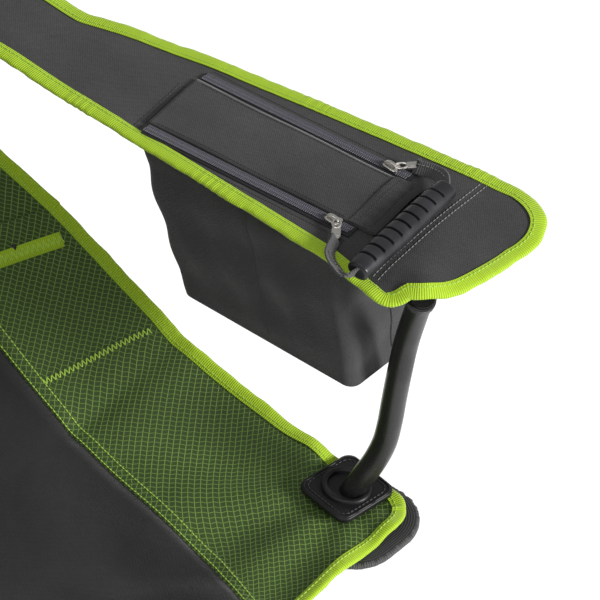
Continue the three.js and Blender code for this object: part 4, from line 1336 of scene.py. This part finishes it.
def build_zips():
    """Both zips: tapes with their coils, and nickel sliders and pulls."""
    t, turns = np.linspace(2, 2 + ZIP_LENGTH, 90), np.arange(115)
    tooth = capsule(((-2.0, 0.4), (-1.4, 0.9), (0, 1), (1.4, 0.9), (2.0, 0.4)), 0.62)
    for name, at in (("inner", -ZIP_AT), ("outer", ZIP_AT)):
        line = deepen(arm_place(at + 0 * t, t), ARM_TOP + 0.2)
        tape, coil = Patchwork(), Patchwork()
        strip(tape, line, UP, 10.4, 1.0)
        dense = deepen(arm_place(at + 0 * turns, 3 + 1.48 * turns), ARM_TOP + 1.9)
        along, side, top = directions(dense, UP)
        for offset, skew in ((-1.6, 0.35), (1.6, -0.35)):
            coil.repeat(tooth, dense + side * offset + along * skew, side, -along, top)
        add_piece(tape, f"zip_cloth_{name}", ("zip cloth",), "arm_left",
                  [f"zip_tape_{name}"], ARM_SQUASH)
        add_piece(coil, f"zip_coil_{name}", ("coil",), "arm_left", squash=ARM_SQUASH)
        ahead, across = unit(line[1] - line[0]), unit(np.cross(line[1] - line[0], UP))
        middle = deepen(arm_place(at, SLIDER_AT), ARM_TOP)
        slider = Patchwork()
        body = rounded_box(8.4, 12.5, 2.4)
        body[:, 0] = body[:, 0] * np.interp(body[:, 1], (-7, 0, 7), (0.62, 0.9, 1.0))
        slider.solid(slab(body, middle, across, ahead, 2.3, 4.0, 0.6))
        slider.solid(slab(body * 0.94, middle, across, ahead, 0.3, 1.1, 0.4))
        arch = middle + ahead * np.linspace(-5.5, 5.0, 24)[:, None] + UP * (
            3.8 + 2.9 * np.sin(np.linspace(0, math.pi, 24)) ** 0.7)[:, None]
        slider.solid(sweep(arch, rounded_box(2.6, 1.2, 0.4, 2)))
        add_piece(slider, f"zip_runner_{name}", ("nickel",), "zip_pulls",
                  [f"zip_slider_{name}"], crease=35)
        eye, way = pull_way(-1 if name == "inner" else 1)
        over = np.cross(way, UP)
        a = np.linspace(0, 2 * math.pi, 40, endpoint=False)
        ring = eye + way * 4 + over * (2.7 * np.sin(a))[:, None] + way * (4.2 * np.cos(a))[:, None]
        pull = Patchwork().grid(sweep(ring, circle(0.9, 10), UP, True), None, (True, True))
        blade = rounded_box(6.2, 10.5, 1.8)
        pull.solid(slab(blade, eye + way * 12.6 - UP * 0.4, over, way, -0.9, 0.9, 0.5))
        pull.solid(slab(rounded_box(3.4, 6.0, 1.0), eye + way * 12.8 + UP * 0.5, over, way, -0.2, 0.35, 0.3))
        add_piece(pull, f"zip_tab_{name}", ("nickel",), "zip_pulls", [f"zip_pull_{name}"],
                  crease=35)


def grip_radius(s):
    """Radius of the grip along its length: fuller in the middle, with nine narrow finger grooves."""
    swell = 7.9 + (GRIP_RADIUS - 7.9) * np.cos(np.clip(s / GRIP_LENGTH, -0.5, 0.5) * math.pi) ** 0.5
    pitch, grooves = 9.5, 9
    nearest_groove = np.clip(np.round(s / pitch), -(grooves // 2), grooves // 2) * pitch
    return swell, 1 - smooth(np.abs(s - nearest_groove), 0.75, 1.2)


def build_grip():
    """The soft grip across the lid's front and the two webbing loops from the zip pulls to its ends."""
    middle = deepen(arm_place(-GRIP_SHIFT, GRIP_AT + 2.5), ARM_TOP + 8.4)
    out = arm_way(1, 0)
    ahead = np.cross(out, UP)
    s = np.linspace(-GRIP_LENGTH / 2, GRIP_LENGTH / 2, 220)
    swell, groove = grip_radius(s)
    rings = lathe(np.stack([swell, s], axis=1), middle, out, 64)
    spokes = unit(rings - (middle + s[:, None, None] * out))
    facing = smooth(spokes @ unit(UP - 0.28 * ahead), 0.42, 0.55)
    rings = rings - spokes * (groove[:, None] * facing * 2.6)[..., None]
    rings = rings - UP * (0.16 * (rings[..., 2:] - middle[2]))
    add_piece(Patchwork().solid(rings, dome=1.2), "grip_barrel", ("grip",), "grip",
              ["cooler_grip"], crease=50)
    bends = {"inner": [(-62, 177, 5), (-71, 189, 6), (-74.5, 199, 7)],
             "outer": [(41, 173, 5), (42.5, 186, 6), (39, 196, 8)]}
    for name, sign in (("inner", -1), ("outer", 1)):
        end = middle + out * sign * (GRIP_LENGTH / 2 - 1)
        start = pull_end(sign)
        stops = [deepen(arm_place(a, t), ARM_TOP + z) for a, t, z in bends[name]]
        way = through([start, *stops, end], np.linspace(0, 1, 80))
        work = Patchwork().solid(sweep(way, rounded_box(1.6, 10.0, 0.6, 2), UP * 0.75 + out * sign))
        row_of = stitches(Patchwork(), way[18:62] + UP * 2.6, UP, 3.2, 2.4, 0.7)
        add_piece(row_of, f"grip_loop_thread_{name}", ("grey thread",), "grip")
        add_piece(work, f"grip_loop_{name}", ("strap",), "grip", [f"pull_loop_{name}"])


def bag_ring(share, inset=0.0):
    """Plan outline of the bag at a share of its depth, anticlockwise from its inner rear corner."""
    inner, outer = ARM_INNER + 8 + inset, 338 - 4 * share - inset
    rear, front = -105 - 34 * share - inset, -266 - 23 * share + inset
    box = rounded_box(outer - inner, rear - front, max(8 - 0.4 * inset, 3), 8)
    box = around(box, 168)
    slant = np.tan(LID_TURN) * -box[:, 1] * 0.9 * (1 - 0.5 * share)
    return box + ((inner + outer) / 2, (rear + front) / 2) + np.stack([slant, 0 * slant], axis=1)


def build_bag():
    """The cooler bag below the lid: a soft shell with bulging walls, creases and piped seams."""
    top, rings = ARM_UNDER - 0.4, []
    for share in np.linspace(0, 1, 72):
        flat = bag_ring(share)
        middle = flat.mean(axis=0)
        out = unit(flat - middle)
        swell = 2.0 * math.sin(math.pi * min(1.0, share * 1.02)) ** 0.8
        along = distances(np.concatenate([flat, flat[:1]]))[:-1]
        crease = (1.5 * np.sin(along / 9.5 + 1.3 * math.sin(5 * share)) * np.sin(along / 23 + 0.7)
                  * math.sin(math.pi * share) + 1.1 * np.sin(share * 17 + along / 31))
        fade = min(1.0, share * 8) * min(1.0, (1 - share) * 6)
        push = (swell + crease * fade)[:, None]
        rings.append(deepen(flat + out * push, top - BAG_DEPTH * share * 0.98))
    for drop, inset in ((0.99, 2), (0.998, 6), (1.0, 14)):
        rings.append(deepen(bag_ring(1, inset), top - BAG_DEPTH * drop))
    last = rings[-1]
    middle = last.mean(axis=0)
    for share in (0.66, 0.33, 0.0):
        rings.append(middle + (last - middle) * share - UP * 0.6 * (1 - share))
    work = Patchwork().grid(np.stack(rings), None, (False, True))
    piece = add_piece(work, "bag_shell", ("charcoal",), "arm_left", ["cooler_bag"],
                      BAG_SQUASH, thick=2.5, crease=60)
    piping = Patchwork()
    for start in (18, 60, 102, 144):
        line = np.stack([ring[start] for ring in rings[1:66]])
        piping.solid(sweep(line, circle(0.9, 8), (0.3, 1, 0)))
    add_piece(piping, "bag_piping", ("charcoal",), "arm_left", squash=BAG_SQUASH)


def build_cup():
    """The cup holder in the right arm: a net pocket with a bound rim."""
    wall = [(CUP_RADIUS - 0.4 - 6 * s + math.sin(5 * s), ARM_UNDER + 2 - (CUP_DEPTH - 6) * s)
            for s in np.linspace(0, 1, 60)]
    base = [(34, 549.5), (31, 547.5), (24, 546.8), (12, 546.5), (0, 546.5)]
    rings = lathe(wall + base, (*CUP_CENTRE, 0), UP, 72)[:, ::-1]
    work = Patchwork().grid(rings, None, (False, True))
    piece = add_piece(work, "cup_net", ("net",), "arm_right", ["cup_holder"], BAG_SQUASH,
                      thick=1.2, crease=60)
    a = np.linspace(0, 2 * math.pi, 180, endpoint=False)
    rim = circle(CUP_RADIUS + 3, len(a)) + CUP_CENTRE
    ring = deepen(rim, ARM_TOP + 0.3 + 0.25 * np.sin(9 * a))
    tape = Patchwork().grid(sweep(ring, rounded_box(8.5, 2.0, 0.8, 2), UP, True), None, (True, True))
    add_piece(tape, "cup_rim", ("lime",), "arm_right", squash=ARM_SQUASH)
    line = np.concatenate([ring, ring[:1]]) + UP * 0.9
    add_piece(stitches(Patchwork(), line, UP, 3.6, 2.7, 0.75), "cup_rim_thread", ("lime thread",),
              "arm_right", squash=ARM_SQUASH)


# ---- Corner patches and ties ------------------------------------------------------------------
def build_corners():
    """Front corners: a black pocket under the seat's corner and the moulded patch on it, and the
    ties that hold the seat to the rear hubs."""
    middle = np.array([CORNER + 3.1, -CORNER - 7.4, 0])
    right = np.array([math.cos(PATCH_TURN), math.sin(PATCH_TURN), 0])
    ahead = np.array([-math.sin(PATCH_TURN), math.cos(PATCH_TURN), 0])
    outline = rounded_box(PATCH_SIDE, PATCH_SIDE, 8, 8)
    face = PATCH_BASE + 3.4
    for name, side in SIDES:
        patch = Patchwork().solid(slab(outline, middle, right, ahead, PATCH_BASE - 0.6, face, 1.1))
        lip = laid(around(outline * 0.93, 120), middle, right, ahead) + UP * (PATCH_BASE + 3.1)
        patch.grid(sweep(lip, circle(0.9, 8), UP, True), None, (True, True))
        oval = laid(circle(1, 72) * (14.0, 16.5), middle, right, ahead)
        profile = np.array([(-2.4, -0.4), (2.4, -0.4), (2.2, 1.8), (1.2, 2.7), (-1.2, 2.7), (-2.2, 1.8)])
        patch.grid(sweep(oval + UP * face, profile, UP, True), None, (True, True))
        line = resample(np.concatenate([outline, outline[:1]]) * 0.83, 180)
        line = laid(line, middle, right, ahead) + UP * face
        thread_row = stitches(Patchwork(), line, UP, 3.4, 2.5, 0.9)
        body = f"hub_front_{name}"
        add_piece(patch, f"patch_{name}", ("patch",), body, [f"corner_patch_{name}"],
                  side=side, crease=45)
        add_piece(thread_row, f"patch_thread_{name}", ("dark thread",), body, side=side)
        pad = around(rounded_box(80, 84, 31, 14), 180)
        fray = ripple(np.arange(180) * 1.7, 71, 12, 3, 7)
        centre, x, y = np.array([CORNER - 6.0, -CORNER - 19.5, 0]), np.eye(3)[0], np.eye(3)[1]
        pocket = Patchwork().solid(slab(pad, centre, x, y, HUB_TOP + 5, HUB_TOP + 12.0, 2.2))
        hem = centre + deepen(pad * (1 + 0.008 * fray)[:, None], HUB_TOP + 9 + 0.8 * fray)
        pocket.grid(sweep(hem, rounded_box(3.4, 4.6, 1.4, 3), UP, True), None, (True, True), 1)
        add_piece(pocket, f"pocket_{name}", ("webbing", "strap"), body,
                  [f"corner_pocket_{name}"], side=side)
        top = sling(np.array(0.9), np.array(0.428)) - UP * 2.5
        foot = np.array([CORNER - 4, 0.933 * CORNER, HUB_TOP + 4])
        way = bezier(top, (top + foot) / 2 + (4, 3, -6), foot, count=30)
        tie = Patchwork().solid(sweep(way, rounded_box(16, 1.8, 0.7, 2), (1, 0.2, 0)))
        add_piece(tie, f"tie_{name}", ("webbing",), f"hub_rear_{name}",
                  [f"seat_tie_{name}"], side=side)


# ---- Stage ------------------------------------------------------------------------------------
def lamp(name, kind, energy, stand, target, size):
    """A light that faces a target. Its size is the sun's angle or the side of an area lamp."""
    data = bpy.data.lights.new(name, kind)
    data.energy = energy
    if kind == "AREA":
        data.size = size
    else:
        data.angle = size
    light = bpy.data.objects.new(name, data)
    light.location = stand
    turn_to(light, target)
    bpy.context.scene.collection.objects.link(light)


def turn_to(thing, target):
    """Turns a light or camera so that its -Z axis points at the target."""
    gap = thing.location - type(thing.location)(target)
    thing.rotation_euler = gap.to_track_quat("Z", "Y").to_euler()


def build_stage():
    """White floor and surroundings, a sun from the front, a soft light above and the camera."""
    chair, scene = settings(), bpy.context.scene
    world = bpy.data.worlds.new("Studio")
    world.use_nodes = True
    background = world.node_tree.nodes["Background"]
    background.inputs["Color"].default_value = (1, 1, 1, 1)
    background.inputs["Strength"].default_value = chair.surroundings
    scene.world = world
    scene.view_settings.view_transform = "Standard"
    reach = 30.0  # of the floor from its middle, in metres
    floor = bpy.data.meshes.new("floor")
    floor.from_pydata([(-reach, -reach, 0), (reach, -reach, 0), (reach, reach, 0), (-reach, reach, 0)], [],
                      [(0, 1, 2, 3)])
    look = Look("Floor", Roughness=0.9, Emission_Color=(1, 1, 1, 1), Emission_Strength=0.3)
    tone = look.noise(look.space(), 3.0, 2.0)
    floor.materials.append(look.finish(look.shade((0.93, 0.93, 0.93), 0.99, 1.01, tone)))
    ground = bpy.data.objects.new("floor", floor)
    scene.collection.objects.link(ground)
    lamp("Key", "SUN", chair.key_light, (0.6, -2.6, 1.3), (0, 0, 0.2), math.radians(16))
    lamp("Fill", "AREA", chair.fill_light, (-0.5, -0.1, 2.9), (0.1, -0.2, 0.5), 1.6)
    camera = bpy.data.objects.new("Camera", bpy.data.cameras.new("Camera"))
    camera.data.lens = chair.lens
    camera.data.clip_end = 60
    camera.location = chair.camera_place
    turn_to(camera, chair.camera_target)
    scene.collection.objects.link(camera)
    scene.camera = camera


# ---- Add-on -----------------------------------------------------------------------------------
class ChairSettings(bpy.types.PropertyGroup):
    """Sizes, colours and lights of the chair."""

    cloth_thickness: bpy.props.FloatProperty(
        name="Cloth thickness", description="Thickness of the seat and back cloth",
        default=0.0018, min=0.0005, max=0.005, unit="LENGTH")
    binding_width: bpy.props.FloatProperty(
        name="Binding width", description="Width of the tape that shows beside each cloth edge",
        default=0.0096, min=0.005, max=0.025, unit="LENGTH")
    ripstop_pitch: bpy.props.FloatProperty(
        name="Ripstop pitch", description="Distance between the grid lines of the green cloth",
        default=0.0039, min=0.001, max=0.02, unit="LENGTH")
    charcoal: bpy.props.FloatVectorProperty(
        name="Charcoal cloth", description="Colour of the arms and the bag, which the seat's middle darkens",
        subtype="COLOR", size=3, min=0, max=1, default=(0.035, 0.036, 0.035))
    ripstop_green: bpy.props.FloatVectorProperty(
        name="Ripstop squares", description="Colour of the squares in the green cloth",
        subtype="COLOR", size=3, min=0, max=1, default=(0.030, 0.064, 0.007))
    ripstop_lines: bpy.props.FloatVectorProperty(
        name="Ripstop lines", description="Colour of the grid lines in the green cloth",
        subtype="COLOR", size=3, min=0, max=1, default=(0.155, 0.26, 0.045))
    lime: bpy.props.FloatVectorProperty(
        name="Lime binding", description="Colour of the bindings",
        subtype="COLOR", size=3, min=0, max=1, default=(0.37, 0.56, 0.016))
    lime_thread: bpy.props.FloatVectorProperty(
        name="Lime thread", description="Colour of the topstitching",
        subtype="COLOR", size=3, min=0, max=1, default=(0.42, 0.64, 0.09))
    steel: bpy.props.FloatVectorProperty(
        name="Powder coat", description="Colour of the tubes",
        subtype="COLOR", size=3, min=0, max=1, default=(0.012, 0.012, 0.0125))
    key_light: bpy.props.FloatProperty(
        name="Key light", description="Strength of the sun from the front", default=3.9, min=0)
    fill_light: bpy.props.FloatProperty(
        name="Fill light", description="Power of the soft light above the chair", default=14.0, min=0,
        unit="POWER")
    surroundings: bpy.props.FloatProperty(
        name="Surroundings", description="Strength of the white surroundings", default=0.33, min=0)
    lens: bpy.props.FloatProperty(
        name="Lens", description="Focal length of the camera, in millimetres", default=377.0, min=10)
    camera_place: bpy.props.FloatVectorProperty(
        name="Camera place", description="Where the camera stands", subtype="TRANSLATION", size=3,
        unit="LENGTH", default=(-1.990, -2.277, 3.463))
    camera_target: bpy.props.FloatVectorProperty(
        name="Camera target", description="Where the camera looks", subtype="TRANSLATION", size=3,
        unit="LENGTH", default=(0.2597, -0.2454, 0.600))


class CHAIR_OT_fittings(bpy.types.Operator):
    """Builds the feet and the hubs, with their lugs and pins."""

    bl_idname = "camp_chair.fittings"
    bl_label = "Feet and hubs"

    def execute(self, context):
        build_fittings()
        return {"FINISHED"}


class CHAIR_OT_legs(bpy.types.Operator):
    """Builds the eight crossed legs and the rivets where they cross."""

    bl_idname = "camp_chair.legs"
    bl_label = "Legs"

    def execute(self, context):
        build_legs()
        return {"FINISHED"}


class CHAIR_OT_posts(bpy.types.Operator):
    """Builds the bent posts of the arms and the back."""

    bl_idname = "camp_chair.posts"
    bl_label = "Posts"

    def execute(self, context):
        build_posts()
        return {"FINISHED"}


class CHAIR_OT_seat(bpy.types.Operator):
    """Builds the seat's panels, seams and binding."""

    bl_idname = "camp_chair.seat"
    bl_label = "Seat"

    def execute(self, context):
        build_seat()
        return {"FINISHED"}


class CHAIR_OT_back(bpy.types.Operator):
    """Builds the back's panels, seams, sleeves and binding."""

    bl_idname = "camp_chair.back"
    bl_label = "Back"

    def execute(self, context):
        build_back()
        return {"FINISHED"}


class CHAIR_OT_arms(bpy.types.Operator):
    """Builds the cloth arms with their bindings and stitching."""

    bl_idname = "camp_chair.arms"
    bl_label = "Arms"

    def execute(self, context):
        build_arms()
        return {"FINISHED"}


class CHAIR_OT_lid(bpy.types.Operator):
    """Builds the cooler's lid with its flap and stitching."""

    bl_idname = "camp_chair.lid"
    bl_label = "Cooler lid"

    def execute(self, context):
        build_lid()
        return {"FINISHED"}


class CHAIR_OT_zips(bpy.types.Operator):
    """Builds the zips' tapes, coils, sliders and pulls."""

    bl_idname = "camp_chair.zips"
    bl_label = "Zips"

    def execute(self, context):
        build_zips()
        return {"FINISHED"}


class CHAIR_OT_grip(bpy.types.Operator):
    """Builds the grip and the webbing loops that carry it."""

    bl_idname = "camp_chair.grip"
    bl_label = "Grip"

    def execute(self, context):
        build_grip()
        return {"FINISHED"}


class CHAIR_OT_bag(bpy.types.Operator):
    """Builds the cooler bag below the lid."""

    bl_idname = "camp_chair.bag"
    bl_label = "Cooler bag"

    def execute(self, context):
        build_bag()
        return {"FINISHED"}


class CHAIR_OT_cup(bpy.types.Operator):
    """Builds the net cup holder and its rim."""

    bl_idname = "camp_chair.cup"
    bl_label = "Cup holder"

    def execute(self, context):
        build_cup()
        return {"FINISHED"}


class CHAIR_OT_corners(bpy.types.Operator):
    """Builds the corner patches, their pockets and the seat's ties."""

    bl_idname = "camp_chair.corners"
    bl_label = "Corners and ties"

    def execute(self, context):
        build_corners()
        return {"FINISHED"}


class CHAIR_OT_stage(bpy.types.Operator):
    """Builds the floor, the lights and the camera."""

    bl_idname = "camp_chair.stage"
    bl_label = "Stage"

    def execute(self, context):
        build_stage()
        return {"FINISHED"}


OPERATORS = (
    CHAIR_OT_fittings, CHAIR_OT_legs, CHAIR_OT_posts, CHAIR_OT_seat, CHAIR_OT_back, CHAIR_OT_arms,
    CHAIR_OT_lid, CHAIR_OT_zips, CHAIR_OT_grip, CHAIR_OT_bag, CHAIR_OT_cup, CHAIR_OT_corners,
    CHAIR_OT_stage,
)


class CHAIR_PT_panel(bpy.types.Panel):
    """The chair's sizes and colours, and a button for each piece."""

    bl_idname = "CHAIR_PT_panel"
    bl_label = "Camp chair"
    bl_space_type = "VIEW_3D"
    bl_region_type = "UI"
    bl_category = "Camp chair"

    def draw(self, context):
        for name in ChairSettings.__annotations__:
            self.layout.prop(context.scene.camp_chair, name)
        for operator in OPERATORS:
            self.layout.operator(operator.bl_idname)


CLASSES = (ChairSettings, *OPERATORS, CHAIR_PT_panel)


def register():
    """Registers the classes and hangs the settings on the scene."""
    for cls in CLASSES:
        bpy.utils.register_class(cls)
    bpy.types.Scene.camp_chair = bpy.props.PointerProperty(type=ChairSettings)


def unregister():
    del bpy.types.Scene.camp_chair
    for cls in reversed(CLASSES):
        bpy.utils.unregister_class(cls)


def main():
    """Builds every piece by its operator."""
    register()
    for operator in OPERATORS:
        getattr(bpy.ops.camp_chair, operator.bl_idname.split(".")[1])()


if __name__ == "__main__":
    main()
